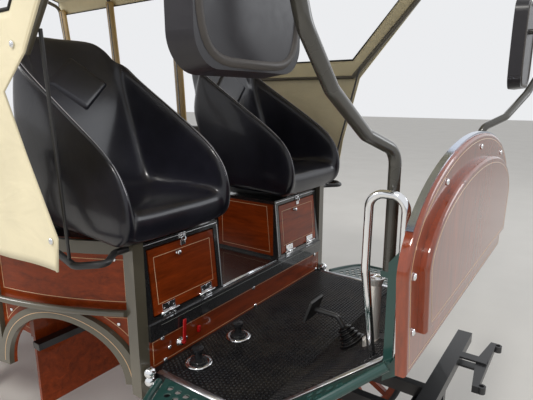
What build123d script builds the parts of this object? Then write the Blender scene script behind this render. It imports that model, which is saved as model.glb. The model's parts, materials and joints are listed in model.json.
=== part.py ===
"""Horse-drawn wagonette: driver's box with two bucket seats, passenger well with side benches, hood.

Millimetres. +X is forward, +Y is the left side and +Z is up. The origin is on the ground under the
middle of the outline. Most lengthwise places are measured from the heel board's front face, and
most heights from the driver's floor.
"""
import os
from math import atan2, cos, radians, sin, sqrt, tan

from build123d import *

os.makedirs("parts", exist_ok=True)

# Driving places
HEEL_X = 996            # heel board's front face, from the origin
FLOOR_Z = 860           # top of the driver's floor above the ground
FRONT_AXLE = 140
BODY_REAR = -2700       # inside of the rear end
REAR_AXLE = BODY_REAR + 670
FIT = 0.05              # radial clearance of a running fit
GAP = 0.3               # clearance between neighbouring surfaces

# Wheels
FRONT_R = 370
REAR_R = 440
TYRE_T = 26
TYRE_W = 46
RIM_T = 34
RIM_W = 40
TRACK_HALF = 650        # lateral place of a wheel's middle plane
SPOKES = 12
SPOKE_W = 30
SPOKE_T = 24
HUB_R = 52
HUB_L = 150
SPINDLE_R = 16
AXLE_H = 44             # square axle beam
CAP_R = 34
CAP_L = 24

# Underframe and springs
RAIL_Y = 420
RAIL_W = 50
RAIL_H = 60
RAIL_FRONT = 410
CROSS_W = 44
CROSSES = (380, 140, -100, -540)
OUTRIGGERS = (-560, -1200, BODY_REAR + 80)
OUTRIGGER_H = 28
SPRING_W = 44
LEAF_T = 8
LEAVES = 3
LEAF_STEP = 0.24        # share of the span that each inner leaf is shorter by
EYE_R = 14
REAR_SPRING_L = 900
FRONT_SPRING_L = 740
FRONT_SPRING_Y = 360
RING_R = 260
RING_W = 44
RING_T = 14
BOLSTER_W = 80
BOLSTER_H = 30
KINGPIN_R = 15

# Pole gear
FUTCHELL_Y = 90
FUTCHELL_H = 50
FUTCHELL_W = 34
FUTCHELL_BACK = -60
SPLINTER_X = 800
SPLINTER_HALF = 540
SPLINTER_W = 60
SPLINTER_H = 44
SOCKET_L = 220
SOCKET_HALF = 50
SOCKET_WALL = 10
TREE_Y = 330            # middle of a swingletree
TREE_HALF = 190
TREE_AHEAD = 100        # splinter bar's face to the lugs' tips
TREE_BACK = 22          # lugs' tips back to the pin
TREE_PIN_R = 8
TREE_PLATE_T = 8
HOOK_X = 34             # trace eye ahead of the pin
HOOK_IN = 16            # trace eye from the tree's end
HOOK_HOLE = 9
HOOK_R = 16
POLE_PIN_R = 10
POLE_PIN_BACK = 60      # pole pin behind the socket's mouth

# Driver's floor and box deck
FLOOR_T = 30
FLOOR_HALF = 600
FLOOR_FLAT = 430        # length of the level floor in front of the heel board
TOE_RUN = 430           # level length of the sloping toe board
TOE_RISE = 330
HEEL_H = 110
HEEL_T = 18
DECK_T = 22
DECK_TOP = 170
DECK_LIP = 12
DECK_BACK = -600
PILLAR_W = 50
PILLAR_T = 44
PILLAR_LOW = -90

# Lockers under the seats
LOCKER_IN = 205
LOCKER_OUT = FLOOR_HALF - 2
LOCKER_DEPTH = 430
LOCKER_H = 285
LOCKER_WALL = 16
LEAN = 5                # degrees the locker fronts lean back
DOOR_W = 330
DOOR_H = 236
DOOR_T = 16
DOOR_GAP = 5
HINGE_R = 5
HINGE_PIN_R = 2.5
HINGE_L = 46
KNUCKLE_L = 8           # fixed knuckle at each end of a door hinge
LEAF_PLATE_T = 2
LEAF_PLATE_H = 28
HINGE_Y = 105

# Bucket seats
SEAT_Y = 462
SEAT_HALF = 250
SEAT_WING = 48
SLIDE_H = 20
SLIDE_W = 34
SLIDE_Y = 116
HIP_REAR = -520         # foot of the hip rail outside each seat
HIP_TOP = 745
HIP_R = 11
HIP_LOOP = 455          # height of its loop round the seat's front corner
HIP_BENDS = ((-220, 785), (-20, 835), (40, 770))

# Body sides
SIDE_T = 18
PANEL_T = 12
SIDE_FRONT_Y = 632
SIDE_BACK_Y = 850
FLARE_END = -820
SIDE_LOW = -60
BELT_Z = 470
BAND_H = 45
FRONT_ARCH_X = -310
FRONT_ARCH_R = 232
REAR_ARCH_R = 500
POSTS = (-590, -1200, BODY_REAR + BAND_H)
RUB_RAIL_R = 12
RUB_RAIL_Z = 220

# Passenger well
WALL_T = 16
TUB_CLEAR = 48          # footwell above the rear axle
TUB_LOW = REAR_R + AXLE_H / 2 + TUB_CLEAR - FLOOR_Z
TUB_FRONT = -600
FRONT_WALL_HALF = 690
BENCH_TOP = 300
BENCH_T = 20
CUSHION_T = 90
CUSHION_D = 400
BACKREST_T = 80
BACKREST_TOP = 760
GUARD_R = REAR_R + 30      # inside of the guard over a rear wheel
GUARD_T = 6
REAR_T = 30
REAR_DOOR_HALF = 290
REAR_DOOR_T = 24
REAR_GAP = 5
REAR_HINGE_R = 9
STEP_HALF = 210
STEP_D = 220
STEP_Z = 270            # height of the rear step above the ground

# Hood
HOOD_HALF = 945
EAVES = 1760
CROWN = 130
HOOD_FRONT = 640
HOOD_REAR = BODY_REAR - 160
SHEET_T = 8
BOW_R = 14
VALANCE = 120
JOINT_X = 15
JOINT_Z = 1045
WINDOW_SILL = 1140
STAY_FOOT = (-60, 825)  # on the hip rail's loop
STAY_UP = 50            # top of a stay above the bow's joint
STAY_R = 5

# Dash and its fittings
DASH_T = 26
DASH_HALF = 632
DASH_FOOT_HALF = 598     # half width of the dash at its foot
DASH_LOW = 308
DASH_SHOULDER = 555
DASH_TOP = 826
DASH_ROUND = 9          # rounding of the front edges
ARCH_PANEL_IN = 76
ARCH_PANEL_T = 22
ARCH_PANEL_UP = 88      # foot of the raised panel above the board's foot
TRIM_T = 5
TRIM_END = 655          # height of the trim's ends above the driver's floor
POST_HALF = 515         # outer face of the posts beside the dash
POST_X = 800
POST_T = 12
POST_TOP = 585
ARM_X = 790
ARM_Y = POST_HALF - 30
ARM_R = 15
ARM_FOOT = 515
ARM_KNEE = 812
ARM_SWING = 185
HANDLE_R = 11
HANDLE_TOP = 715
WHIP_X = 683
WHIP_Y = 292
WHIP_R = 16
WHIP_L = 214
PEDAL_UP = 190          # up the slope from the toe board's foot
PEDAL_Y = 205
PEDAL_HALF = 42
BELLOWS_R = 40
BELLOWS_FOLDS = 4
BELLOWS_PITCH = 13
KNOB_X = 105
KNOBS_Y = (-468, -240)
KNOB_R = 48
PLATE_T = 6
PLATE_FRONT = 78
PLATE_OUT = 790
PLATE_END = 500         # up the slope from the toe board's foot
PLATE_RIM_R = 13
FINIAL_X = 22
FINIAL_R = 21
MIRROR_X = 640
MIRROR_Y = 905
MIRROR_W = 300
MIRROR_H = 380
MIRROR_LOW = 970
MIRROR_T = 50
MIRROR_PIVOT = 1220

floor_front = HEEL_X + FLOOR_FLAT
dash_x = floor_front + TOE_RUN
slope = atan2(TOE_RISE, TOE_RUN)
rail_top = FLOOR_Z - FLOOR_T
rail_low = rail_top - RAIL_H
rail_in = RAIL_Y - RAIL_W / 2
rail_out = RAIL_Y + RAIL_W / 2
body_rear = HEEL_X + BODY_REAR
tub_low = FLOOR_Z + TUB_LOW
tub_front = HEEL_X + TUB_FRONT
toe_plane = Plane(
    origin=(floor_front, 0, FLOOR_Z), x_dir=(cos(slope), 0, sin(slope)), z_dir=(-sin(slope), 0, cos(slope))
)


def block(x, y, z, mode=Mode.ADD):
    """Square block between the two ends given for each direction."""
    with Locations(((x[0] + x[1]) / 2, (y[0] + y[1]) / 2, (z[0] + z[1]) / 2)):
        Box(abs(x[1] - x[0]), abs(y[1] - y[0]), abs(z[1] - z[0]), mode=mode)


def heel(x, y, z):
    """Point given from the heel board and the driver's floor."""
    return (HEEL_X + x, y, FLOOR_Z + z)


def toe_z(x):
    """Height of the toe board over a place given from the heel board, above the driver's floor."""
    return (x - FLOOR_FLAT) * TOE_RISE / TOE_RUN


def tube(points, bend, radius):
    """Round bar along straight runs joined by tangent arcs."""
    with BuildLine() as path:
        if len(points) == 2:
            Line(*points)
        else:
            FilletPolyline(*points, radius=bend)
    with BuildSketch(Plane(origin=path.line @ 0, z_dir=path.line % 0)) as section:
        Circle(radius)
    sweep(section.sketch, path=path.line)


def rod(start, end, radius, mode=Mode.ADD):
    """Straight round bar between two points."""
    run = Vector(*end) - Vector(*start)
    with BuildSketch(Plane(origin=start, z_dir=run.normalized())) as section:
        Circle(radius)
    extrude(section.sketch, amount=run.length, mode=mode)


def cut_under_toe():
    """Take away what lies under the sloping toe board's top."""
    with BuildSketch(toe_plane) as board:
        Rectangle(TOE_RUN * 4, FLOOR_HALF * 3)
    extrude(board.sketch, amount=-TOE_RUN, mode=Mode.SUBTRACT)


def both_sides():
    """Copy what is built so far to the other side of the carriage."""
    mirror(about=Plane.XZ)


def finish(built, name):
    """Label a finished piece and write it out."""
    built.part.label = name
    export_step(built.part, "parts/" + name + ".step")


def other_side(right, name):
    """Left-hand twin of a right-hand piece."""
    with BuildPart() as left:
        mirror(right.part, about=Plane.XZ)
    finish(left, name)


def elliptic_spring(x, y, low, high, length):
    """Full elliptic spring: two bowed packs, each inner leaf shorter than the one outside it."""
    middle = (low + high) / 2
    half = (high - low) / 2
    for up in (1, -1):
        for leaf in range(LEAVES):
            share = 1 - LEAF_STEP * leaf
            reach = length / 2 * share
            rise = half - LEAF_T * (leaf + 1)
            drop = (half - LEAF_T) * share ** 2
            with BuildSketch(Plane.XZ.offset(-y)) as leaf_side:
                with BuildLine():
                    outer = ThreePointArc(
                        (x - reach, middle + up * (rise + LEAF_T - drop)),
                        (x, middle + up * (rise + LEAF_T)),
                        (x + reach, middle + up * (rise + LEAF_T - drop)),
                    )
                    inner = ThreePointArc(
                        (x - reach, middle + up * (rise - drop)),
                        (x, middle + up * rise),
                        (x + reach, middle + up * (rise - drop)),
                    )
                    Line(outer @ 0, inner @ 0)
                    Line(outer @ 1, inner @ 1)
                make_face()
            extrude(leaf_side.sketch, amount=SPRING_W / 2, both=True)
    for end in (-1, 1):
        with Locations((x + end * length / 2, y, middle)):
            Cylinder(EYE_R, SPRING_W, rotation=(90, 0, 0))


def wheel(name, x, radius, side):
    """Spoked wheel with its hub bored for the spindle, and its tyre."""
    y = side * TRACK_HALF
    rim_out = radius - TYRE_T
    rim_in = rim_out - RIM_T
    flat = Plane(origin=(x, y, radius))
    upright = Plane(origin=(x, y, radius), x_dir=(1, 0, 0), z_dir=(0, -1, 0))
    spin = Axis((x, y, radius), (0, 1, 0))
    with BuildPart() as made:
        with BuildSketch(flat):
            with Locations(((rim_in + rim_out) / 2, 0)):
                Rectangle(rim_out - rim_in, RIM_W)
        revolve(axis=spin)
        with BuildSketch(flat):
            with BuildLine():
                Polyline(
                    (0, -HUB_L / 2), (HUB_R * 0.75, -HUB_L / 2), (HUB_R, -SPOKE_T), (HUB_R * 1.4, -SPOKE_T),
                    (HUB_R * 1.4, SPOKE_T), (HUB_R, SPOKE_T), (HUB_R * 0.75, HUB_L / 2), (0, HUB_L / 2),
                    close=True,
                )
            make_face()
        revolve(axis=spin)
        reach = rim_in + 4 - HUB_R
        with BuildSketch(upright):
            with PolarLocations(HUB_R + reach / 2, SPOKES):
                Rectangle(reach, SPOKE_W)
        extrude(amount=SPOKE_T / 2, both=True)
        with Locations((x, y, radius)):
            Cylinder(SPINDLE_R + FIT, HUB_L, rotation=(90, 0, 0), mode=Mode.SUBTRACT)
    finish(made, "wheel_" + name)
    shoulder = rim_out + TYRE_T / 2
    with BuildPart() as tyre:
        with BuildSketch(flat):
            with BuildLine():
                Polyline(
                    (shoulder, TYRE_W / 2), (rim_out, TYRE_W / 2),
                    (rim_out, -TYRE_W / 2), (shoulder, -TYRE_W / 2),
                )
                ThreePointArc((shoulder, -TYRE_W / 2), (radius, 0), (shoulder, TYRE_W / 2))
            make_face()
        revolve(axis=spin)
    finish(tyre, "tyre_" + name)


def axle(x, radius):
    """Axle beam with a turned spindle and a retaining cap at each end."""
    inner = TRACK_HALF - HUB_L / 2 - GAP
    outer = TRACK_HALF + HUB_L / 2 + GAP
    block((x - AXLE_H / 2, x + AXLE_H / 2), (-inner, inner), (radius - AXLE_H / 2, radius + AXLE_H / 2))
    for side in (-1, 1):
        rod((x, side * (inner - 10), radius), (x, side * outer, radius), SPINDLE_R)
        rod((x, side * outer, radius), (x, side * (outer + CAP_L), radius), CAP_R)


def side_y(x):
    """Outer face of the body side at a place given from the heel board."""
    flare = SIDE_BACK_Y - SIDE_FRONT_Y
    run = -PILLAR_W - FLARE_END
    radius = (run ** 2 + flare ** 2) / (2 * flare)
    return SIDE_BACK_Y - radius + sqrt(radius ** 2 - max(x - FLARE_END, 0) ** 2)


def side_line(offset, z=0):
    """Plan line of the right body side, moved outwards by offset: a straight run, then the flare."""
    knee = (HEEL_X + FLARE_END, -SIDE_BACK_Y - offset, z)
    back = Line((body_rear, -SIDE_BACK_Y - offset, z), knee)
    return back, TangentArc(knee, (HEEL_X - PILLAR_W, -SIDE_FRONT_Y - offset, z), tangent=(1, 0, 0))


def side_ribbon(outer, inner, low, high):
    """Upright ribbon along the right body side between two offsets from its outer face."""
    with BuildSketch(Plane.XY.offset(low)) as plan:
        with BuildLine():
            out_back, out_arc = side_line(outer)
            in_back, in_arc = side_line(inner)
            Line(out_back @ 0, in_back @ 0)
            Line(out_arc @ 1, in_arc @ 1)
        make_face()
    extrude(plan.sketch, amount=high - low)


# Wheels: name, place from the heel board, radius, side
for wheel_name, wheel_x, wheel_r, wheel_side in (
    ("front_right", FRONT_AXLE, FRONT_R, -1),
    ("front_left", FRONT_AXLE, FRONT_R, 1),
    ("rear_right", REAR_AXLE, REAR_R, -1),
    ("rear_left", REAR_AXLE, REAR_R, 1),
):
    wheel(wheel_name, HEEL_X + wheel_x, wheel_r, wheel_side)

# Rear running gear
with BuildPart() as rear_axle:
    axle(HEEL_X + REAR_AXLE, REAR_R)
finish(rear_axle, "rear_axle")

with BuildPart() as rear_springs:
    elliptic_spring(HEEL_X + REAR_AXLE, -RAIL_Y, REAR_R + AXLE_H / 2, rail_low, REAR_SPRING_L)
    both_sides()
finish(rear_springs, "rear_springs")

# Forecarriage, which turns about the kingpin over the front axle
kingpin_x = HEEL_X + FRONT_AXLE
upper_ring_low = rail_low - RING_T
lower_ring_top = upper_ring_low - GAP
bolster_top = lower_ring_top - RING_T
bolster_low = bolster_top - BOLSTER_H
futchell_low = bolster_low - FUTCHELL_H
splinter_x = HEEL_X + SPLINTER_X
socket_front = splinter_x + SPLINTER_W / 2 + SOCKET_L / 2

with BuildPart() as front_axle:
    axle(kingpin_x, FRONT_R)
finish(front_axle, "front_axle")

with BuildPart() as front_springs:
    elliptic_spring(kingpin_x, -FRONT_SPRING_Y, FRONT_R + AXLE_H / 2, bolster_low, FRONT_SPRING_L)
    both_sides()
finish(front_springs, "front_springs")

with BuildPart() as forecarriage:
    with Locations((kingpin_x, 0, lower_ring_top - RING_T / 2)):
        Cylinder(RING_R, RING_T)
        Cylinder(RING_R - RING_W, RING_T, mode=Mode.SUBTRACT)
    block(
        (kingpin_x - BOLSTER_W / 2, kingpin_x + BOLSTER_W / 2),
        (-FRONT_SPRING_Y - SPRING_W / 2, FRONT_SPRING_Y + SPRING_W / 2), (bolster_low, bolster_top),
    )
    with Locations((kingpin_x, 0, (bolster_low + lower_ring_top) / 2)):
        Cylinder(BOLSTER_W / 2, lower_ring_top - bolster_low)
    for side in (-1, 1):
        block(
            (HEEL_X + FUTCHELL_BACK, splinter_x + SPLINTER_W / 2),
            (side * FUTCHELL_Y - FUTCHELL_W / 2, side * FUTCHELL_Y + FUTCHELL_W / 2),
            (futchell_low, bolster_low),
        )
    block(
        (HEEL_X + FUTCHELL_BACK, HEEL_X + FUTCHELL_BACK + FUTCHELL_W), (-FUTCHELL_Y, FUTCHELL_Y),
        (futchell_low, bolster_low),
    )
    with Locations((kingpin_x, 0, (bolster_low + lower_ring_top) / 2)):
        Cylinder(KINGPIN_R + FIT, lower_ring_top - bolster_low, mode=Mode.SUBTRACT)
finish(forecarriage, "forecarriage")

socket_z = futchell_low - SOCKET_HALF - SOCKET_WALL
with BuildPart() as splinter_bar:
    block(
        (splinter_x - SPLINTER_W / 2, splinter_x + SPLINTER_W / 2), (-SPLINTER_HALF, SPLINTER_HALF),
        (bolster_low, bolster_low + SPLINTER_H),
    )
    for side in (-1, 1):
        tree_x = splinter_x + SPLINTER_W / 2
        for z in (bolster_low, bolster_low + SPLINTER_H - TREE_PLATE_T):
            block(
                (tree_x, tree_x + TREE_AHEAD),
                (side * TREE_Y - 22, side * TREE_Y + 22), (z, z + TREE_PLATE_T),
            )
        rod(
            (tree_x + TREE_AHEAD - TREE_BACK, side * TREE_Y, bolster_low + TREE_PLATE_T),
            (tree_x + TREE_AHEAD - TREE_BACK, side * TREE_Y, bolster_low + SPLINTER_H - TREE_PLATE_T),
            TREE_PIN_R,
        )
finish(splinter_bar, "splinter_bar")

with BuildPart() as pole_socket:
    outside = SOCKET_HALF + SOCKET_WALL
    block(
        (socket_front - SOCKET_L, socket_front),
        (-outside, outside), (socket_z - outside, socket_z + outside),
    )
    block(
        (socket_front - SOCKET_L + SOCKET_WALL, socket_front), (-SOCKET_HALF, SOCKET_HALF),
        (socket_z - SOCKET_HALF, socket_z + SOCKET_HALF), mode=Mode.SUBTRACT,
    )
    block(
        (socket_front - SOCKET_L, splinter_x + SPLINTER_W / 2),
        (-FUTCHELL_Y - FUTCHELL_W / 2, FUTCHELL_Y + FUTCHELL_W / 2),
        (futchell_low - SOCKET_WALL, futchell_low),
    )
    with Locations((socket_front - POLE_PIN_BACK, 0, socket_z)):
        Cylinder(POLE_PIN_R, 2 * outside + 1, mode=Mode.SUBTRACT)
finish(pole_socket, "pole_socket")

# Swingletrees: name, side
tree_pin_x = splinter_x + SPLINTER_W / 2 + TREE_AHEAD - TREE_BACK
tree_z = bolster_low + SPLINTER_H / 2
tree_thick = SPLINTER_H / 2 - TREE_PLATE_T - GAP
for tree_name, side in (("right", -1), ("left", 1)):
    with BuildPart() as swingletree:
        with BuildSketch(Plane.XY.offset(tree_z)):
            with BuildLine():
                Polyline(
                    (tree_pin_x - 16, side * TREE_Y - 40), (tree_pin_x - 16, side * TREE_Y + 40),
                    (tree_pin_x + 4, side * TREE_Y + TREE_HALF), (tree_pin_x + 26, side * TREE_Y + TREE_HALF),
                    (tree_pin_x + 26, side * TREE_Y - TREE_HALF), (tree_pin_x + 4, side * TREE_Y - TREE_HALF),
                    close=True,
                )
            make_face()
        extrude(amount=tree_thick, both=True)
        for end in (-1, 1):
            hook_y = side * TREE_Y + end * (TREE_HALF - HOOK_IN)
            with Locations((tree_pin_x + HOOK_X, hook_y, tree_z)):
                Cylinder(HOOK_R, tree_thick * 2)
                Cylinder(HOOK_HOLE, tree_thick * 2, mode=Mode.SUBTRACT)
        rod(
            (tree_pin_x, side * TREE_Y, tree_z - tree_thick),
            (tree_pin_x, side * TREE_Y, tree_z + tree_thick),
            TREE_PIN_R + FIT, mode=Mode.SUBTRACT,
        )
    finish(swingletree, "swingletree_" + tree_name)

# Body underframe
with BuildPart() as chassis_frame:
    for side in (-1, 1):
        block((body_rear, HEEL_X + RAIL_FRONT), (side * rail_in, side * rail_out), (rail_low, rail_top))
        for x in OUTRIGGERS:
            block(
                (HEEL_X + x - CROSS_W / 2, HEEL_X + x + CROSS_W / 2),
                (side * rail_out, side * (FRONT_WALL_HALF + 20)), (rail_top - OUTRIGGER_H, rail_top),
            )
    for x in CROSSES:
        block((HEEL_X + x - CROSS_W / 2, HEEL_X + x + CROSS_W / 2), (-rail_in, rail_in), (rail_low, rail_top))
    with Locations((kingpin_x, 0, upper_ring_low + RING_T / 2)):
        Cylinder(RING_R, RING_T)
        Cylinder(RING_R - RING_W, RING_T, mode=Mode.SUBTRACT)
        Cylinder(BOLSTER_W / 2, RING_T)
    rod((kingpin_x, 0, bolster_low - 4), (kingpin_x, 0, rail_top), KINGPIN_R)
finish(chassis_frame, "chassis_frame")

# Driver's floor and box
with BuildPart() as driver_floor:
    block((HEEL_X - PILLAR_W, floor_front), (-FLOOR_HALF, FLOOR_HALF), (rail_top, FLOOR_Z))
    with BuildSketch(toe_plane):
        toe_l = TOE_RUN / cos(slope) + FLOOR_T
        post_l = (POST_X - FLOOR_FLAT) / cos(slope) - FLOOR_T
        post_in = POST_HALF - POST_T
        with BuildLine():
            Polyline(
                (-20, -FLOOR_HALF), (post_l, -post_in), (toe_l, -post_in),
                (toe_l, post_in), (post_l, post_in),
                (-20, FLOOR_HALF), close=True,
            )
        make_face()
    extrude(amount=-FLOOR_T)
    split(bisect_by=Plane.YZ.offset(dash_x), keep=Keep.BOTTOM)
finish(driver_floor, "driver_floor")

with BuildPart() as heel_board:
    block((HEEL_X - HEEL_T, HEEL_X), (-FLOOR_HALF, FLOOR_HALF), (FLOOR_Z, FLOOR_Z + HEEL_H))
finish(heel_board, "heel_board")

deck_top = FLOOR_Z + DECK_TOP
with BuildPart() as box_deck:
    block((HEEL_X + DECK_BACK, HEEL_X), (-FLOOR_HALF, FLOOR_HALF), (deck_top - DECK_T, deck_top))
    block((HEEL_X - HEEL_T, HEEL_X + DECK_LIP), (-FLOOR_HALF, FLOOR_HALF), (FLOOR_Z + HEEL_H, deck_top))
finish(box_deck, "box_deck")

with BuildPart() as front_pillars:
    block(
        (HEEL_X - PILLAR_W, HEEL_X), (-FLOOR_HALF - PILLAR_T, -FLOOR_HALF),
        (FLOOR_Z + PILLAR_LOW, FLOOR_Z + BELT_Z),
    )
    both_sides()
finish(front_pillars, "front_pillars")

# Lockers with drop-down doors
locker_mid = (LOCKER_IN + LOCKER_OUT) / 2
front_plane = Plane(
    origin=(HEEL_X, -locker_mid, deck_top), x_dir=(0, 1, 0), z_dir=(cos(radians(LEAN)), 0, sin(radians(LEAN)))
)
door_low = LOCKER_WALL + DOOR_GAP
locker_top = deck_top + LOCKER_H
lean_back = LOCKER_H * tan(radians(LEAN))
with BuildPart() as locker_right:
    with BuildSketch(Plane.XZ.offset(LOCKER_IN)):
        with BuildLine():
            Polyline(
                (HEEL_X, deck_top), (HEEL_X - lean_back, locker_top), (HEEL_X - LOCKER_DEPTH, locker_top),
                (HEEL_X - LOCKER_DEPTH, deck_top), close=True,
            )
        make_face()
    extrude(amount=LOCKER_OUT - LOCKER_IN)
    block(
        (HEEL_X - LOCKER_DEPTH + LOCKER_WALL, HEEL_X - lean_back - DOOR_T),
        (-LOCKER_OUT + LOCKER_WALL, -LOCKER_IN - LOCKER_WALL),
        (deck_top + LOCKER_WALL, locker_top - LOCKER_WALL), mode=Mode.SUBTRACT,
    )
    with BuildSketch(front_plane):
        with Locations((0, door_low + DOOR_H / 2)):
            Rectangle(DOOR_W + 2 * DOOR_GAP, DOOR_H + 2 * DOOR_GAP)
    extrude(amount=-LOCKER_DEPTH / 4, mode=Mode.SUBTRACT)
    for y in (-HINGE_Y, HINGE_Y):
        reach = HINGE_L / 2 + KNUCKLE_L
        pin_start, pin_end = (
            tuple(front_plane.from_local_coords((y + end * reach, door_low, HINGE_R + GAP)))
            for end in (-1, 1)
        )
        rod(pin_start, pin_end, HINGE_PIN_R)
        for end in (-1, 1):
            knuckle_y = y + end * (reach - (KNUCKLE_L - GAP) / 2)
            with Locations(front_plane.from_local_coords((knuckle_y, door_low, HINGE_R + GAP))):
                Cylinder(HINGE_R, KNUCKLE_L - GAP, rotation=(90, 0, 0))
            with BuildSketch(front_plane):
                with Locations((knuckle_y, (LOCKER_WALL + door_low) / 4 + 2)):
                    Rectangle(KNUCKLE_L - GAP, (LOCKER_WALL + door_low) / 2)
            extrude(amount=LEAF_PLATE_T)
finish(locker_right, "locker_right")
other_side(locker_right, "locker_left")

with BuildPart() as locker_door_right:
    with BuildSketch(front_plane):
        with Locations((0, door_low + DOOR_H / 2)):
            Rectangle(DOOR_W, DOOR_H)
    extrude(amount=-DOOR_T)
    for y in (-HINGE_Y, HINGE_Y):
        with BuildSketch(front_plane):
            with Locations((y, door_low + LEAF_PLATE_H / 2)):
                Rectangle(HINGE_L, LEAF_PLATE_H)
        extrude(amount=LEAF_PLATE_T)
        with Locations(front_plane.from_local_coords((y, door_low, HINGE_R + GAP))):
            Cylinder(HINGE_R, HINGE_L, rotation=(90, 0, 0))
            Cylinder(HINGE_PIN_R + FIT, HINGE_L, rotation=(90, 0, 0), mode=Mode.SUBTRACT)
finish(locker_door_right, "locker_door_right")
other_side(locker_door_right, "locker_door_left")

# Seats on their slides, with a bent hip rail outside each
seat_low = locker_top + SLIDE_H + GAP
with BuildPart() as seat_slides:
    for y in (SEAT_Y - SLIDE_Y, SEAT_Y + SLIDE_Y):
        block(
            (HEEL_X - LOCKER_DEPTH + 20, HEEL_X - lean_back - 10), (-y - SLIDE_W / 2, -y + SLIDE_W / 2),
            (locker_top, locker_top + SLIDE_H),
        )
    both_sides()
finish(seat_slides, "seat_slides")

with BuildPart() as hip_rails:
    rear_y = -side_y(HIP_REAR) + SIDE_T / 2
    tube(
        [
            heel(HIP_REAR, rear_y, BELT_Z), heel(HIP_REAR, rear_y, HIP_TOP), heel(-400, -765, HIP_TOP),
            heel(-290, -775, 600), *[heel(x, -y, HIP_LOOP) for x, y in HIP_BENDS],
            heel(-PILLAR_W / 2, -FLOOR_HALF - PILLAR_T - 50, HIP_LOOP),
            heel(-PILLAR_W / 2, -FLOOR_HALF - PILLAR_T, HIP_LOOP),
        ],
        30, HIP_R,
    )
    both_sides()
finish(hip_rails, "hip_rails")

# Side outline of a seat, from the heel board and the seat's underside: x, z
SEAT_SIDE = (
    (25, 0), (62, 60), (60, 150), (-10, 282), (-190, 395), (-460, 565), (-590, 690), (-655, 682), (-560, 300),
    (-430, 0),
)
# Hollow of the pan between the wings, same measures
SEAT_PAN = ((120, 128), (-350, 96), (-560, 780), (120, 780))
# Half outline of a seat from the front: half width, height
SEAT_FACE = ((SEAT_HALF, 0), (SEAT_HALF, 400), (SEAT_HALF * 0.85, 590), (SEAT_HALF * 0.5, 700))
with BuildPart() as seat_right:
    with BuildSketch(Plane.XZ.offset(SEAT_Y)):
        with BuildLine():
            Polyline(*[(HEEL_X + x, seat_low + z) for x, z in SEAT_SIDE], close=True)
        make_face()
    extrude(amount=SEAT_HALF, both=True)
    with BuildSketch(Plane.XZ.offset(SEAT_Y)):
        with BuildLine():
            Polyline(*[(HEEL_X + x, seat_low + z) for x, z in SEAT_PAN], close=True)
        make_face()
    extrude(amount=SEAT_HALF - SEAT_WING, both=True, mode=Mode.SUBTRACT)
    with BuildSketch(Plane.YZ.offset(HEEL_X - 700)):
        with BuildLine():
            right_edge = [(-SEAT_Y - y, seat_low + z) for y, z in SEAT_FACE]
            left_edge = [(-SEAT_Y + y, seat_low + z) for y, z in reversed(SEAT_FACE)]
            Polyline(*right_edge, *left_edge, close=True)
        make_face()
    extrude(amount=900, mode=Mode.INTERSECT)
finish(seat_right, "seat_right")
other_side(seat_right, "seat_left")

# Body sides: black bands and rails over mahogany panels, both with the wheel arches cut through
def side_bands():
    """Side-view outline of the bands, drawn from the origin."""
    low = FLOOR_Z + SIDE_LOW
    high = FLOOR_Z + BELT_Z
    length = -PILLAR_W - BODY_REAR
    middle = HEEL_X + (BODY_REAR - PILLAR_W) / 2
    for z in (low + BAND_H / 2, high - BAND_H / 2):
        with Locations((middle, z)):
            Rectangle(length, BAND_H)
    for x in POSTS:
        with Locations((HEEL_X + x, (low + high) / 2)):
            Rectangle(BAND_H, high - low)
    for x, radius in ((FRONT_ARCH_X, FRONT_ARCH_R), (REAR_AXLE, REAR_ARCH_R)):
        with Locations((HEEL_X + x, low)):
            Circle(radius + BAND_H)
    with Locations((middle, (low + high) / 2)):
        Rectangle(length, high - low, mode=Mode.INTERSECT)
    for x, radius in ((FRONT_ARCH_X, FRONT_ARCH_R), (REAR_AXLE, REAR_ARCH_R)):
        with Locations((HEEL_X + x, low)):
            Circle(radius, mode=Mode.SUBTRACT)


with BuildPart() as side_frame_right:
    side_ribbon(0, -SIDE_T, FLOOR_Z + SIDE_LOW, FLOOR_Z + BELT_Z)
    with BuildSketch(Plane.XZ):
        side_bands()
    extrude(amount=SIDE_BACK_Y + 50, mode=Mode.INTERSECT)
finish(side_frame_right, "side_frame_right")
other_side(side_frame_right, "side_frame_left")

with BuildPart() as side_panel_right:
    side_ribbon(-SIDE_T, -SIDE_T - PANEL_T, FLOOR_Z + SIDE_LOW, FLOOR_Z + BELT_Z)
    with BuildSketch(Plane.XZ):
        for x, radius in ((FRONT_ARCH_X, FRONT_ARCH_R), (REAR_AXLE, REAR_ARCH_R)):
            with Locations((HEEL_X + x, FLOOR_Z + SIDE_LOW)):
                Circle(radius)
    extrude(amount=SIDE_BACK_Y + 50, mode=Mode.SUBTRACT)
finish(side_panel_right, "side_panel_right")
other_side(side_panel_right, "side_panel_left")

with BuildPart() as rub_rails:
    with BuildLine() as rub_path:
        side_line(RUB_RAIL_R + 2 * GAP, FLOOR_Z + RUB_RAIL_Z)
    with BuildSketch(Plane(origin=rub_path.line @ 0, z_dir=(1, 0, 0))):
        Circle(RUB_RAIL_R)
    sweep(path=rub_path.line)
    split(bisect_by=Plane.YZ.offset(HEEL_X - PILLAR_W - GAP), keep=Keep.BOTTOM)
    both_sides()
finish(rub_rails, "rub_rails")

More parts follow.
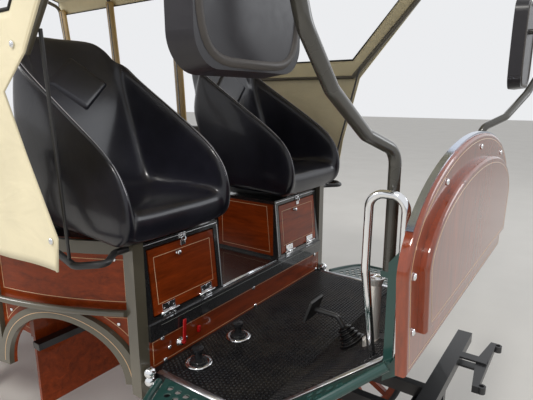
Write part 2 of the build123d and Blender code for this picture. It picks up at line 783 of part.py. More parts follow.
# Passenger well: floor, side walls and the cross wall under the driver's box
wall_top = deck_top - DECK_T
with BuildPart() as footwell:
    block((body_rear, tub_front), (-rail_in, rail_in), (tub_low, tub_low + WALL_T))
    for side in (-1, 1):
        block((body_rear, tub_front), (side * (rail_in - WALL_T), side * rail_in), (tub_low, rail_top))
    block((tub_front - WALL_T, tub_front), (-FRONT_WALL_HALF, FRONT_WALL_HALF), (tub_low, wall_top))
    for side in (-1, 1):
        block(
            (tub_front - WALL_T, tub_front), (side * rail_in, side * rail_out), (rail_low, rail_top),
            mode=Mode.SUBTRACT,
        )
finish(footwell, "footwell")

# Side benches over the rear wheels
bench_front = tub_front - WALL_T
bench_top = FLOOR_Z + BENCH_TOP
bench_out = SIDE_BACK_Y - SIDE_T - PANEL_T
with BuildPart() as bench_right:
    block((body_rear, bench_front), (-rail_in, -rail_in + WALL_T), (rail_top, bench_top - BENCH_T))
    block((body_rear, HEEL_X + FLARE_END), (-bench_out, -rail_in + WALL_T), (bench_top - BENCH_T, bench_top))
    block(
        (HEEL_X + FLARE_END, bench_front), (-FRONT_WALL_HALF - 50, -rail_in + WALL_T),
        (bench_top - BENCH_T, bench_top),
    )
    block((bench_front - WALL_T, bench_front), (-FRONT_WALL_HALF, -rail_in), (rail_top, bench_top - BENCH_T))
    with BuildSketch(Plane.XZ.offset(rail_out)):
        with Locations((HEEL_X + REAR_AXLE, REAR_R)):
            Circle(GUARD_R + GUARD_T)
            Circle(GUARD_R, mode=Mode.SUBTRACT)
        with Locations((HEEL_X + REAR_AXLE, rail_low - GUARD_R * 1.5)):
            Rectangle(GUARD_R * 3, GUARD_R * 3, mode=Mode.SUBTRACT)
    extrude(amount=bench_out - rail_out)
finish(bench_right, "bench_right")
other_side(bench_right, "bench_left")

with BuildPart() as bench_cushions:
    block(
        (body_rear + 20, HEEL_X + FLARE_END + 100),
        (-bench_out + BACKREST_T + 6, -bench_out + BACKREST_T + CUSHION_D),
        (bench_top + GAP, bench_top + CUSHION_T),
    )
    fillet(bench_cushions.part.edges().filter_by(Axis.X), 28)
    both_sides()
finish(bench_cushions, "bench_cushions")

with BuildPart() as bench_backrests:
    block(
        (body_rear + 20, HEEL_X + FLARE_END), (-bench_out + GAP, -bench_out + BACKREST_T),
        (bench_top + GAP, FLOOR_Z + BACKREST_TOP),
    )
    fillet(bench_backrests.part.edges().filter_by(Axis.X).group_by(Axis.Z)[-1], 24)
    both_sides()
finish(bench_backrests, "bench_backrests")

# Rear end, its door and the step
rear_face = body_rear - REAR_T
with BuildPart() as rear_end:
    for side in (-1, 1):
        block(
            (rear_face, body_rear), (side * REAR_DOOR_HALF, side * SIDE_BACK_Y),
            (FLOOR_Z + SIDE_LOW, FLOOR_Z + BELT_Z),
        )
        block((rear_face, body_rear), (side * REAR_DOOR_HALF, side * rail_in), (tub_low, FLOOR_Z + SIDE_LOW))
    block((rear_face, body_rear), (-rail_in, rail_in), (tub_low, tub_low + WALL_T))
    hinge_x = rear_face - REAR_HINGE_R
    for z in (TUB_LOW + 150, BELT_Z - 150):
        low, high = FLOOR_Z + z - 40, FLOOR_Z + z - GAP
        rod((hinge_x, REAR_DOOR_HALF, low), (hinge_x, REAR_DOOR_HALF, high), REAR_HINGE_R)
        block((rear_face - 4, rear_face), (REAR_DOOR_HALF, REAR_DOOR_HALF + 40), (low, high))
finish(rear_end, "rear_end")

with BuildPart() as rear_door:
    block(
        (rear_face, rear_face + REAR_DOOR_T), (-REAR_DOOR_HALF + REAR_GAP, REAR_DOOR_HALF - REAR_GAP),
        (tub_low + WALL_T + REAR_GAP, FLOOR_Z + BELT_Z),
    )
    for z in (TUB_LOW + 150, BELT_Z - 150):
        low, high = FLOOR_Z + z, FLOOR_Z + z + 40
        rod((hinge_x, REAR_DOOR_HALF, low), (hinge_x, REAR_DOOR_HALF, high), REAR_HINGE_R)
        block((rear_face - 4, rear_face), (REAR_DOOR_HALF - 40, REAR_DOOR_HALF), (low, high))
    rod((rear_face - 40, -REAR_DOOR_HALF + 60, FLOOR_Z), (rear_face, -REAR_DOOR_HALF + 60, FLOOR_Z), 8)
    rod((rear_face - 36, -REAR_DOOR_HALF + 60, FLOOR_Z), (rear_face - 36, -REAR_DOOR_HALF + 160, FLOOR_Z), 8)
finish(rear_door, "rear_door")

with BuildPart() as rear_step:
    block((rear_face - STEP_D, rear_face), (-STEP_HALF, STEP_HALF), (STEP_Z - 12, STEP_Z))
    for side in (-1, 1):
        block(
            (rear_face, rear_face + 12), (side * (STEP_HALF - 40), side * STEP_HALF), (STEP_Z - 12, tub_low),
        )
finish(rear_step, "rear_step")

# Hood: bows on the belt rail, a sill bar each side of the driver, the roof sheet and the side sheets
# Bows: foot x, foot height, top x
BOWS = (
    (JOINT_X, JOINT_Z, HOOD_FRONT - 30), (-640, BELT_Z, -700), (-1350, BELT_Z, -1400), (-2040, BELT_Z, -2120),
    (BODY_REAR + 60, BELT_Z, HOOD_REAR + 40),
)
bow_side = HOOD_HALF - BOW_R
with BuildPart() as hood_frame:
    for foot_x, foot_z, top_x in BOWS:
        out = [heel(top_x, -bow_side, EAVES - 60), heel(top_x, -bow_side * 0.6, EAVES + 60)]
        if foot_z == BELT_Z:
            foot_y = -side_y(foot_x) + SIDE_T / 2
            start = [
                heel(foot_x, foot_y, BELT_Z), heel(foot_x, foot_y, BELT_Z + 60),
                heel(foot_x, -bow_side, BELT_Z + 200),
            ]
        else:
            start = [heel(foot_x, -bow_side, foot_z)]
        half = start + out
        tube(half + [(x, -y, z) for x, y, z in reversed(half)], 60, BOW_R)
    for side in (-1, 1):
        rod(heel(JOINT_X, side * bow_side, JOINT_Z), heel(-640, side * bow_side, JOINT_Z), BOW_R * 0.7)
finish(hood_frame, "hood_frame")

sheet_in = HOOD_HALF + GAP
eaves_z = FLOOR_Z + EAVES
with BuildPart() as roof_sheet:
    with BuildSketch(Plane.YZ.offset(HEEL_X + HOOD_REAR)):
        with BuildLine():
            top = ThreePointArc(
                (-sheet_in - SHEET_T, eaves_z), (0, eaves_z + CROWN), (sheet_in + SHEET_T, eaves_z)
            )
            under = ThreePointArc((-sheet_in, eaves_z), (0, eaves_z + CROWN - SHEET_T), (sheet_in, eaves_z))
            for side in (-1, 1):
                Polyline(
                    (side * sheet_in, eaves_z), (side * sheet_in, eaves_z - VALANCE),
                    (side * (sheet_in + SHEET_T), eaves_z - VALANCE), (side * (sheet_in + SHEET_T), eaves_z),
                )
        make_face()
    extrude(amount=HOOD_FRONT - HOOD_REAR)
finish(roof_sheet, "roof_sheet")

# Outlines of the side sheets and of their window: x from the heel board, z from the driver's floor
sheet_top = EAVES - VALANCE - 1
SHEETS = (
    (-1, (
        (545, sheet_top), (45, 1040), (-75, 950), (0, 790),
        (105, 590), (90, 500), (-640, 470), (-690, sheet_top),
    )),
    (1, ((545, sheet_top), (45, 1040), (-45, 690), (-75, 500), (-640, 470), (-690, sheet_top))),
)
SHEET_WINDOW = ((0, WINDOW_SILL), (366, 1568), (-600, 1568), (-580, WINDOW_SILL))
with BuildPart() as hood_sides:
    for side, outline in SHEETS:
        with BuildSketch(Plane.XZ.offset(-side * sheet_in)):
            with BuildLine():
                Polyline(*[(HEEL_X + x, FLOOR_Z + z) for x, z in outline], close=True)
            make_face()
            with BuildLine():
                Polyline(*[(HEEL_X + x, FLOOR_Z + z) for x, z in SHEET_WINDOW], close=True)
            make_face(mode=Mode.SUBTRACT)
        extrude(amount=-side * SHEET_T)
finish(hood_sides, "hood_sides")

with BuildPart() as hood_stays:
    rod(
        heel(JOINT_X + STAY_UP * 0.9, -bow_side + BOW_R + STAY_R, JOINT_Z + STAY_UP),
        heel(STAY_FOOT[0], -STAY_FOOT[1], HIP_LOOP + HIP_R + STAY_R * 0.3), STAY_R,
    )
    both_sides()
finish(hood_stays, "hood_stays")

# Dash: board under a half ellipse, with a raised panel in front and a metal trim over its top
dash_low = FLOOR_Z + DASH_LOW
dash_shoulder = FLOOR_Z + DASH_SHOULDER


def arch_face(inset, low, mode=Mode.ADD):
    """Outline of the dash moved inwards by inset: a foot, sides that draw in towards it, and the arch."""
    half = DASH_HALF - inset
    draw_in = (DASH_HALF - DASH_FOOT_HALF) * (dash_shoulder - low) / (dash_shoulder - dash_low)
    with BuildLine() as outline:
        Polyline((-half, dash_shoulder), (-half + draw_in, low), (half - draw_in, low), (half, dash_shoulder))
        EllipticalCenterArc(
            (0, dash_shoulder), half, DASH_TOP - DASH_SHOULDER - inset, start_angle=0, arc_size=180,
        )
    make_face(outline.edges(), mode=mode)


with BuildPart() as dash_board:
    with BuildSketch(Plane.YZ.offset(dash_x)):
        arch_face(0, dash_low)
    extrude(amount=DASH_T)
    fillet(dash_board.part.faces().sort_by(Axis.X)[-1].edges(), DASH_ROUND)
    with BuildSketch(Plane.YZ.offset(dash_x + DASH_T)) as raised:
        arch_face(ARCH_PANEL_IN, dash_low + ARCH_PANEL_UP)
    extrude(raised.sketch, amount=ARCH_PANEL_T)
    fillet(dash_board.part.faces().sort_by(Axis.X)[-1].edges(), DASH_ROUND)
finish(dash_board, "dash_board")

with BuildPart() as dash_trim:
    with BuildSketch(Plane.YZ.offset(dash_x)):
        arch_face(-TRIM_T, dash_low)
        arch_face(0, dash_low, mode=Mode.SUBTRACT)
        with Locations((0, FLOOR_Z + TRIM_END - DASH_HALF)):
            Rectangle(DASH_HALF * 3, DASH_HALF * 2, mode=Mode.SUBTRACT)
    extrude(amount=DASH_T - DASH_ROUND)
finish(dash_trim, "dash_trim")

post_front = dash_x - HEEL_X
with BuildPart() as dash_posts:
    with BuildSketch(Plane.XZ.offset(POST_HALF - POST_T)):
        with BuildLine():
            Polyline(*[
                (HEEL_X + x, FLOOR_Z + z) for x, z in (
                    (POST_X, toe_z(POST_X) - 60), (post_front, toe_z(post_front) - 60),
                    (post_front, POST_TOP - 40), ((POST_X + post_front) / 2, POST_TOP),
                    (POST_X, POST_TOP - 40),
                )
            ], close=True)
        make_face()
    extrude(amount=POST_T)
    block(
        (HEEL_X + ARM_X - ARM_R, HEEL_X + POST_X), (-ARM_Y - ARM_R, -ARM_Y + ARM_R),
        (FLOOR_Z + ARM_FOOT - 16, FLOOR_Z + ARM_FOOT),
    )
    block(
        (HEEL_X + POST_X, HEEL_X + POST_X + 20), (-POST_HALF + POST_T, -ARM_Y + ARM_R),
        (FLOOR_Z + ARM_FOOT - 16, FLOOR_Z + ARM_FOOT),
    )
    both_sides()
finish(dash_posts, "dash_posts")

# Mirror arms and mirrors. The left arm is swung forwards, most at its end
# Bends of the right arm above its straight foot: x, reach from the foot to the mirror's middle, z
ARM_BENDS = ((762, 0.27, 856), (758, 0.65, 950), (764, 0.92, 1050), (750, 1.0, 1180), (750, 1.0, 1300))
MIRROR_SIDES = ((-1, 0), (1, ARM_SWING))
arm_end_x = ARM_BENDS[-1][0]
with BuildPart() as mirror_arms:
    for side, swing in MIRROR_SIDES:
        bends = [
            heel(x + swing * sqrt(reach), side * (ARM_Y + (MIRROR_Y - ARM_Y) * reach), z)
            for x, reach, z in ARM_BENDS
        ]
        tube([heel(ARM_X, side * ARM_Y, ARM_FOOT), heel(ARM_X, side * ARM_Y, ARM_KNEE), *bends], 50, ARM_R)
        rod(
            heel(arm_end_x + swing - ARM_R / 2, side * MIRROR_Y, MIRROR_PIVOT),
            heel(MIRROR_X + swing + MIRROR_T, side * MIRROR_Y, MIRROR_PIVOT), ARM_R * 0.8,
        )
finish(mirror_arms, "mirror_arms")

with BuildPart() as mirrors:
    for side, swing in MIRROR_SIDES:
        with BuildSketch(Plane.YZ.offset(HEEL_X + MIRROR_X + swing)):
            with Locations((side * MIRROR_Y, FLOOR_Z + MIRROR_LOW + MIRROR_H / 2)):
                RectangleRounded(MIRROR_W, MIRROR_H, 60)
        extrude(amount=MIRROR_T, taper=8)
finish(mirrors, "mirrors")

# Grab handles: rear foot on the toe board, front leg against the post
with BuildPart() as grab_handles:
    grip_y = -POST_HALF - HANDLE_R - GAP
    tube(
        [
            heel(742, -440, toe_z(742) - 20), heel(746, grip_y, 520), heel(748, grip_y, HANDLE_TOP),
            heel(838, grip_y, HANDLE_TOP), heel(838, grip_y, toe_z(838)),
        ],
        36, HANDLE_R,
    )
    cut_under_toe()
    both_sides()
finish(grab_handles, "grab_handles")

# Fittings on the floor and the toe board
with BuildPart() as whip_holder:
    foot = heel(WHIP_X, -WHIP_Y, toe_z(WHIP_X))
    with BuildSketch(Plane(origin=foot, x_dir=(1, 0, 0), z_dir=(0, -1, 0))):
        with BuildLine():
            Polyline(
                (0, -30), (30, -30), (30, 6), (WHIP_R + 4, 16), (WHIP_R + 4, WHIP_L - 24),
                (WHIP_R + 12, WHIP_L), (WHIP_R + 8, WHIP_L), (WHIP_R, WHIP_L - 24), (WHIP_R, 20), (0, 20),
                close=True,
            )
        make_face()
    revolve(axis=Axis(foot, (0, 0, 1)))
    cut_under_toe()
finish(whip_holder, "whip_holder")

pedal_foot = toe_plane.from_local_coords((PEDAL_UP, -PEDAL_Y, 0))
pedal_side = Plane(origin=pedal_foot, x_dir=toe_plane.x_dir, z_dir=-toe_plane.y_dir)
with BuildPart() as pedal_bellows:
    with BuildSketch(pedal_side):
        with BuildLine():
            folds = []
            for fold in range(BELLOWS_FOLDS):
                radius = BELLOWS_R - 5 * fold
                folds += [(radius, 8 + BELLOWS_PITCH * fold), (radius - 9, 8 + BELLOWS_PITCH * (fold + 0.5))]
            top = 8 + BELLOWS_PITCH * BELLOWS_FOLDS
            Polyline((0, 0), (BELLOWS_R + 8, 0), (BELLOWS_R + 8, 8), *folds, (12, top), (0, top), close=True)
        make_face()
    revolve(axis=Axis(tuple(pedal_foot), tuple(toe_plane.z_dir)))
finish(pedal_bellows, "pedal_bellows")

with BuildPart() as brake_pedal:
    stem = [(0, top), (0, top + 40), (-70, top + 96)]
    tube([tuple(pedal_side.from_local_coords((x, z, 0))) for x, z in stem], 24, 9)
    with BuildSketch(pedal_side):
        with BuildLine():
            Polyline((-40, top + 128), (-112, top + 82), (-108, top + 74), (-36, top + 120), close=True)
        make_face()
    extrude(amount=PEDAL_HALF, both=True)
finish(brake_pedal, "brake_pedal")

with BuildPart() as floor_knobs:
    for y in KNOBS_Y:
        foot = heel(KNOB_X, y, 0)
        with BuildSketch(Plane(origin=foot, x_dir=(1, 0, 0), z_dir=(0, -1, 0))):
            with BuildLine():
                Polyline(
                    (0, 0), (KNOB_R, 0), (KNOB_R, 5), (KNOB_R * 0.62, 8), (KNOB_R * 0.62, 16),
                    (KNOB_R * 0.3, 20), (KNOB_R * 0.26, 44), (KNOB_R * 0.44, 50),
                    (KNOB_R * 0.44, 60), (0, 62),
                    close=True,
                )
            make_face()
        revolve(axis=Axis(foot, (0, 0, 1)))
finish(floor_knobs, "floor_knobs")

# Tread plates outside the floor, following the toe board, with a round rim
plate_z = FLOOR_Z - PLATE_T
with BuildPart() as step_plates:
    with BuildSketch(Plane.XY.offset(plate_z)):
        with BuildLine():
            Polyline(
                *[(HEEL_X + x, -y) for x, y in (
                    (PLATE_FRONT, FLOOR_HALF), (PLATE_FRONT + 90, PLATE_OUT), (FLOOR_FLAT, PLATE_OUT),
                    (FLOOR_FLAT, FLOOR_HALF),
                )], close=True,
            )
        make_face()
    extrude(amount=PLATE_T)
    with BuildSketch(toe_plane):
        with BuildLine():
            Polyline(
                (-PLATE_T, -FLOOR_HALF - 5), (-PLATE_T, -PLATE_OUT), (PLATE_END, -POST_HALF - 30),
                (PLATE_END, -POST_HALF - 8), close=True,
            )
        make_face()
    extrude(amount=-PLATE_T)
    rim_y = PLATE_OUT + PLATE_RIM_R - 2
    end = toe_plane.from_local_coords((PLATE_END, -POST_HALF - 30 - PLATE_RIM_R, -PLATE_T))
    tube(
        [
            heel(PLATE_FRONT - 14, -FLOOR_HALF - 8 - PLATE_RIM_R, -PLATE_T),
            heel(PLATE_FRONT + 80, -rim_y, -PLATE_T), heel(FLOOR_FLAT, -rim_y, -PLATE_T), tuple(end),
        ],
        60, PLATE_RIM_R,
    )
    both_sides()
finish(step_plates, "step_plates")

# Ball finials at the rear corners of the tread plates
with BuildPart() as finials:
    foot = heel(FINIAL_X, -FLOOR_HALF - FINIAL_R, -FINIAL_R)
    with Locations(foot, heel(FINIAL_X, -FLOOR_HALF - FINIAL_R, FINIAL_R * 0.5)):
        Sphere(FINIAL_R)
    both_sides()
finish(finials, "finials")
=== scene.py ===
"""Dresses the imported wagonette: finishes, leather seats, hood cloth, stringing, brightwork and the studio."""
import json
import math
import random

import bmesh
import bpy
from bpy.props import FloatProperty, FloatVectorProperty, IntProperty, PointerProperty
from mathutils import Matrix, Vector
from mathutils.bvhtree import BVHTree


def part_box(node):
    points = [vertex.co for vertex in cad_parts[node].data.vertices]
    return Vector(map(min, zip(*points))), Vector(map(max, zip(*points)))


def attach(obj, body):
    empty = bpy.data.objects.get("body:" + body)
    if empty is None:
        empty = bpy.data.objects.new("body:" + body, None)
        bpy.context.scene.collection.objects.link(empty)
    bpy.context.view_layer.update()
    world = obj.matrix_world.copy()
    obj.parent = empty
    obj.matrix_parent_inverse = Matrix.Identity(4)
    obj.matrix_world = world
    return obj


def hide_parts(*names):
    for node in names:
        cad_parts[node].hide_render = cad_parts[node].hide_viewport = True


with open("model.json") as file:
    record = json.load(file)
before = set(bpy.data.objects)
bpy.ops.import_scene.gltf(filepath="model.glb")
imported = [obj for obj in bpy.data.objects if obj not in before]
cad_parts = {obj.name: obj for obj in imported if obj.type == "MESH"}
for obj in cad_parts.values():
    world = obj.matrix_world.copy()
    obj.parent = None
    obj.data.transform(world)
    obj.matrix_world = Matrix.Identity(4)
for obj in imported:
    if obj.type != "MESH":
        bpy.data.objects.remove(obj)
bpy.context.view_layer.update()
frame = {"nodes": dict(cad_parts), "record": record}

bl_info = {
    "name": "Wagonette dressing",
    "version": (1, 0, 0),
    "blender": (4, 5, 0),
    "location": "View3D > Sidebar > Wagonette",
    "description": "Finishes, leather, hood cloth and brightwork for a horse-drawn wagonette",
    "category": "Object",
}

# Places taken from the frame, in metres
(_, _, FLOOR_Z), (HEEL_X, FLOOR_HALF, _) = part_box("heel_board")
DECK_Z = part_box("locker_right")[0][2]
SEAT_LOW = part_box("seat_right")[0][2]
SEAT_Y = (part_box("seat_left")[0][1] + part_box("seat_left")[1][1]) / 2
(_, LOCKER_IN, _), (_, LOCKER_OUT, LOCKER_TOP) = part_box("locker_left")
LOCKER_MID = (LOCKER_IN + LOCKER_OUT) / 2
LOCKER_LEAN = math.radians(5)
(BODY_REAR, SIDE_INNER, SIDE_LOW), (SIDE_FRONT_X, SIDE_BACK_Y, BELT_Z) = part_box("side_frame_left")
SIDE_FRONT_Y = SIDE_INNER + 0.018
FLARE_END_X = HEEL_X - 0.82
(DASH_X, _, DASH_LOW), (_, DASH_HALF, DASH_TOP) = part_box("dash_board")
DASH_FRONT = DASH_X + 0.026
DASH_PANEL_FRONT = DASH_X + 0.048
DASH_FOOT_HALF = 0.598
DASH_CENTRE_Z = FLOOR_Z + 0.555
POST_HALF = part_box("dash_posts")[1][1]
TOE_START = HEEL_X + 0.43
DASH_FOOT_X = HEEL_X + 0.80
TOE_SLOPE = math.atan2(0.33, 0.43)
TOE_ALONG = Vector((math.cos(TOE_SLOPE), 0, math.sin(TOE_SLOPE)))
TOE_UP = Vector((-math.sin(TOE_SLOPE), 0, math.cos(TOE_SLOPE)))
TOE_FOOT = Vector((TOE_START, 0, FLOOR_Z))
VALANCE = 0.12
HOOD_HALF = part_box("hood_sides")[1][1] - 0.0083
EAVES_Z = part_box("roof_sheet")[0][2] + VALANCE
(HOOD_REAR, _, _), (HOOD_FRONT, _, HOOD_TOP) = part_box("roof_sheet")
CROWN = HOOD_TOP - EAVES_Z
REAR_AXLE_X = HEEL_X - 2.03
SIDES = (("right", -1), ("left", 1))
X, Z = Vector((1, 0, 0)), Vector((0, 0, 1))


class WagonetteColours(bpy.types.PropertyGroup):
    """Colours of the wagonette's finishes."""

    mahogany: FloatVectorProperty(
        name="Mahogany", description="Middle tone of the wood", subtype="COLOR", default=(0.28, 0.040, 0.004))
    line: FloatVectorProperty(
        name="Line", description="Cream stringing", subtype="COLOR", default=(0.76, 0.48, 0.26))
    black: FloatVectorProperty(
        name="Black", description="Lockers and deck", subtype="COLOR", default=(0.016, 0.016, 0.017))
    steel: FloatVectorProperty(
        name="Ironwork", description="Axles and springs", subtype="COLOR", default=(0.024, 0.024, 0.0255))
    olive: FloatVectorProperty(
        name="Olive", description="Body bands and bows", subtype="COLOR", default=(0.098, 0.086, 0.060))
    green: FloatVectorProperty(
        name="Green", description="Posts and tread plates", subtype="COLOR", default=(0.011, 0.058, 0.050))
    # The leather colour's blue tint is a painted reflection of a blue sky; the leather itself is near-black
    leather: FloatVectorProperty(
        name="Leather", description="Seats and cushions", subtype="COLOR", default=(0.009, 0.009, 0.014))
    cloth: FloatVectorProperty(
        name="Hood cloth", description="Coated cream cloth", subtype="COLOR", default=(0.86, 0.77, 0.53))


class WagonetteSizes(bpy.types.PropertyGroup):
    """Sizes of the wagonette's fine detail."""

    line_width: FloatProperty(
        name="Line width", description="Width of the stringing", subtype="DISTANCE", default=0.0021)
    stud_pitch: FloatProperty(
        name="Stud pitch", description="Spacing of the floor studs", subtype="DISTANCE", default=0.016)
    hole_pitch: FloatProperty(
        name="Hole pitch", description="Spacing of the tread plate holes", subtype="DISTANCE", default=0.036)
    stitch: FloatProperty(name="Stitch", description="Length of a stitch", subtype="DISTANCE", default=0.006)
    camera_lens: FloatProperty(name="Lens", description="Focal length on a 36 mm frame", default=31.07)
    stitch_rows: IntProperty(name="Stitch rows", description="Rows of stitching along a wing", default=2)


def corners(node):
    """Lowest and highest corner of a frame node's box."""
    return [Vector(corner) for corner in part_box(node)]


def colours():
    return bpy.context.scene.wagonette_colours


def sizes():
    return bpy.context.scene.wagonette_sizes


# Finishes

def shader_of(tree, colour, roughness, metallic=0.0, coat=0.0, coat_roughness=0.03, specular=0.5):
    """A material's principled shader with its plain values."""
    shader = tree.nodes["Principled BSDF"]
    for socket, value in (
        ("Base Color", (*colour, 1)), ("Roughness", roughness), ("Metallic", metallic), ("Coat Weight", coat),
        ("Coat Roughness", coat_roughness), ("Specular IOR Level", specular),
    ):
        shader.inputs[socket].default_value = value
    return shader


def place_nodes(tree, stretch=(1, 1, 1)):
    """Object coordinates scaled by stretch."""
    coords = tree.nodes.new("ShaderNodeTexCoord")
    mapping = tree.nodes.new("ShaderNodeMapping")
    mapping.inputs["Scale"].default_value = stretch
    tree.links.new(coords.outputs["Object"], mapping.inputs["Vector"])
    return mapping.outputs["Vector"]


def noise_node(tree, vector, scale, detail=4.0, roughness=0.55, distortion=0.0):
    node = tree.nodes.new("ShaderNodeTexNoise")
    node.inputs["Scale"].default_value = scale
    node.inputs["Detail"].default_value = detail
    node.inputs["Roughness"].default_value = roughness
    node.inputs["Distortion"].default_value = distortion
    tree.links.new(vector, node.inputs["Vector"])
    return node.outputs["Fac"]


def ramp_node(tree, value, stops):
    """Colour ramp through (place, colour) stops."""
    node = tree.nodes.new("ShaderNodeValToRGB")
    elements = node.color_ramp.elements
    while len(elements) < len(stops):
        elements.new(0.5)
    for element, (place, colour) in zip(elements, stops):
        element.position = place
        element.color = (*colour, 1)
    tree.links.new(value, node.inputs["Fac"])
    return node.outputs["Color"]


def spread_node(tree, value, low, high):
    """A value from 0 to 1 spread between two others."""
    node = tree.nodes.new("ShaderNodeMapRange")
    node.inputs["To Min"].default_value = low
    node.inputs["To Max"].default_value = high
    tree.links.new(value, node.inputs["Value"])
    return node.outputs["Result"]


def bump_node(tree, shader, height, strength, distance, socket="Normal", before=None):
    node = tree.nodes.new("ShaderNodeBump")
    node.inputs["Strength"].default_value = strength
    node.inputs["Distance"].default_value = distance
    tree.links.new(height, node.inputs["Height"])
    if before:
        tree.links.new(before, node.inputs["Normal"])
    tree.links.new(node.outputs["Normal"], shader.inputs[socket])
    return node.outputs["Normal"]


def vary(tree, shader, value, stops, low, high):
    """Colour and roughness of a shader that follow one value."""
    tree.links.new(ramp_node(tree, value, stops), shader.inputs["Base Color"])
    tree.links.new(spread_node(tree, value, low, high), shader.inputs["Roughness"])


def tone(colour, factor):
    return tuple(min(1.0, channel * factor) for channel in colour)


def mahogany(tree, base, stretch=(3.0, 22.0, 22.0), coat=0.8, coat_ior=1.5):
    """Clear-coated mahogany: broad figure, fine fibres and dark pores under a deep gloss."""
    shader = shader_of(tree, base, 0.34, coat=coat, coat_roughness=0.025, specular=0.15)
    shader.inputs["Coat IOR"].default_value = coat_ior
    vector = place_nodes(tree, stretch)
    fibre = noise_node(tree, vector, 7.0, 6.0, 0.7)
    mixed = tree.nodes.new("ShaderNodeMix")
    mixed.inputs["Factor"].default_value = 0.35
    tree.links.new(noise_node(tree, vector, 1.0, 5.0, 0.6, 1.4), mixed.inputs["A"])
    tree.links.new(fibre, mixed.inputs["B"])
    stops = ((0.30, tone(base, 0.38)), (0.47, tone(base, 0.80)), (0.58, base), (0.74, tone(base, 1.6)))
    tree.links.new(ramp_node(tree, mixed.outputs["Result"], stops), shader.inputs["Base Color"])
    tree.links.new(spread_node(tree, fibre, 0.26, 0.42), shader.inputs["Roughness"])
    bump_node(tree, shader, fibre, 0.05, 0.0005)


def paint(tree, colour, roughness, coat=0.6, flecks=0.12):
    """Brushed or sprayed paint with faint orange peel and slight tone changes."""
    shader = shader_of(tree, colour, roughness, coat=coat, coat_roughness=0.06)
    vector = place_nodes(tree)
    stops = ((0.3, tone(colour, 1 - flecks)), (0.7, tone(colour, 1 + flecks)))
    vary(tree, shader, noise_node(tree, vector, 3.5, 5.0), stops, roughness * 0.8, roughness * 1.25)
    bump_node(tree, shader, noise_node(tree, vector, 260.0, 2.0), 0.06, 0.0004)


def metal(tree, colour, roughness, smear=0.06, metallic=1.0):
    """Polished or brushed metal with faint smears."""
    shader = shader_of(tree, colour, roughness, metallic)
    vector = place_nodes(tree)
    smears = noise_node(tree, vector, 22.0, 6.0)
    smears = spread_node(tree, smears, max(0.02, roughness - smear), roughness + smear)
    tree.links.new(smears, shader.inputs["Roughness"])
    stops = ((0.35, tone(colour, 0.93)), (0.65, colour))
    tree.links.new(ramp_node(tree, noise_node(tree, vector, 5.0), stops), shader.inputs["Base Color"])


def leather(tree, base):
    """Smooth black leather: fine pebble grain, soft creases and rubbed patches."""
    shader = shader_of(tree, base, 0.34, coat=0.4, coat_roughness=0.12, specular=0.3)
    vector = place_nodes(tree)
    stops = ((0.35, base), (0.65, tone(base, 1.9)))
    vary(tree, shader, noise_node(tree, vector, 6.0, 6.0, 0.6), stops, 0.25, 0.40)
    broad = bump_node(tree, shader, noise_node(tree, vector, 16.0, 3.0, 0.5, 1.5), 0.12, 0.004)
    pebbles = tree.nodes.new("ShaderNodeTexVoronoi")
    pebbles.feature = "SMOOTH_F1"
    pebbles.inputs["Scale"].default_value = 520.0
    tree.links.new(vector, pebbles.inputs["Vector"])
    bump_node(tree, shader, pebbles.outputs["Distance"], 0.16, 0.0006, before=broad)


def cloth(tree, base):
    """Coated cream canvas: plain weave, broad creases and a little soiling."""
    shader = shader_of(tree, base, 0.62)
    shader.inputs["Sheen Weight"].default_value = 0.15
    vector = place_nodes(tree)
    soil = noise_node(tree, vector, 2.2, 6.0, 0.62)
    stops = ((0.3, tone(base, 0.84)), (0.55, base), (0.8, tone(base, 1.1)))
    tree.links.new(ramp_node(tree, soil, stops), shader.inputs["Base Color"])
    folds = noise_node(tree, place_nodes(tree, (1.0, 1.0, 2.6)), 3.2, 3.0, 0.5, 0.8)
    broad = bump_node(tree, shader, folds, 0.35, 0.02)
    weave = tree.nodes.new("ShaderNodeTexWave")
    weave.bands_direction = "DIAGONAL"
    weave.inputs["Scale"].default_value = 380.0
    weave.inputs["Distortion"].default_value = 0.6
    tree.links.new(vector, weave.inputs["Vector"])
    bump_node(tree, shader, weave.outputs["Fac"], 0.18, 0.0005, before=broad)


def rubber(tree, colour, roughness, dust_and_glint):
    """Rubber with dust settled in its texture; on the floor studs the lighter tone is partly dust and partly a
    painted glint.
    """
    shader = shader_of(tree, colour, roughness, specular=0.3)
    vector = place_nodes(tree)
    cloud = noise_node(tree, vector, 7.0, 7.0, 0.65)
    vary(tree, shader, cloud, ((0.42, colour), (0.75, dust_and_glint)), roughness * 0.8, min(1.0, roughness * 1.2))
    bump_node(tree, shader, noise_node(tree, vector, 340.0, 3.0), 0.2, 0.0006)


def gloss(tree, colour, roughness=0.22):
    """Moulded plastic with light scuffs."""
    shader = shader_of(tree, colour, roughness, specular=0.4)
    scuffs = noise_node(tree, place_nodes(tree), 45.0, 8.0, 0.7)
    stops = ((0.3, tone(colour, 0.85)), (0.7, tone(colour, 1.1)))
    vary(tree, shader, scuffs, stops, roughness * 0.7, roughness * 1.5)


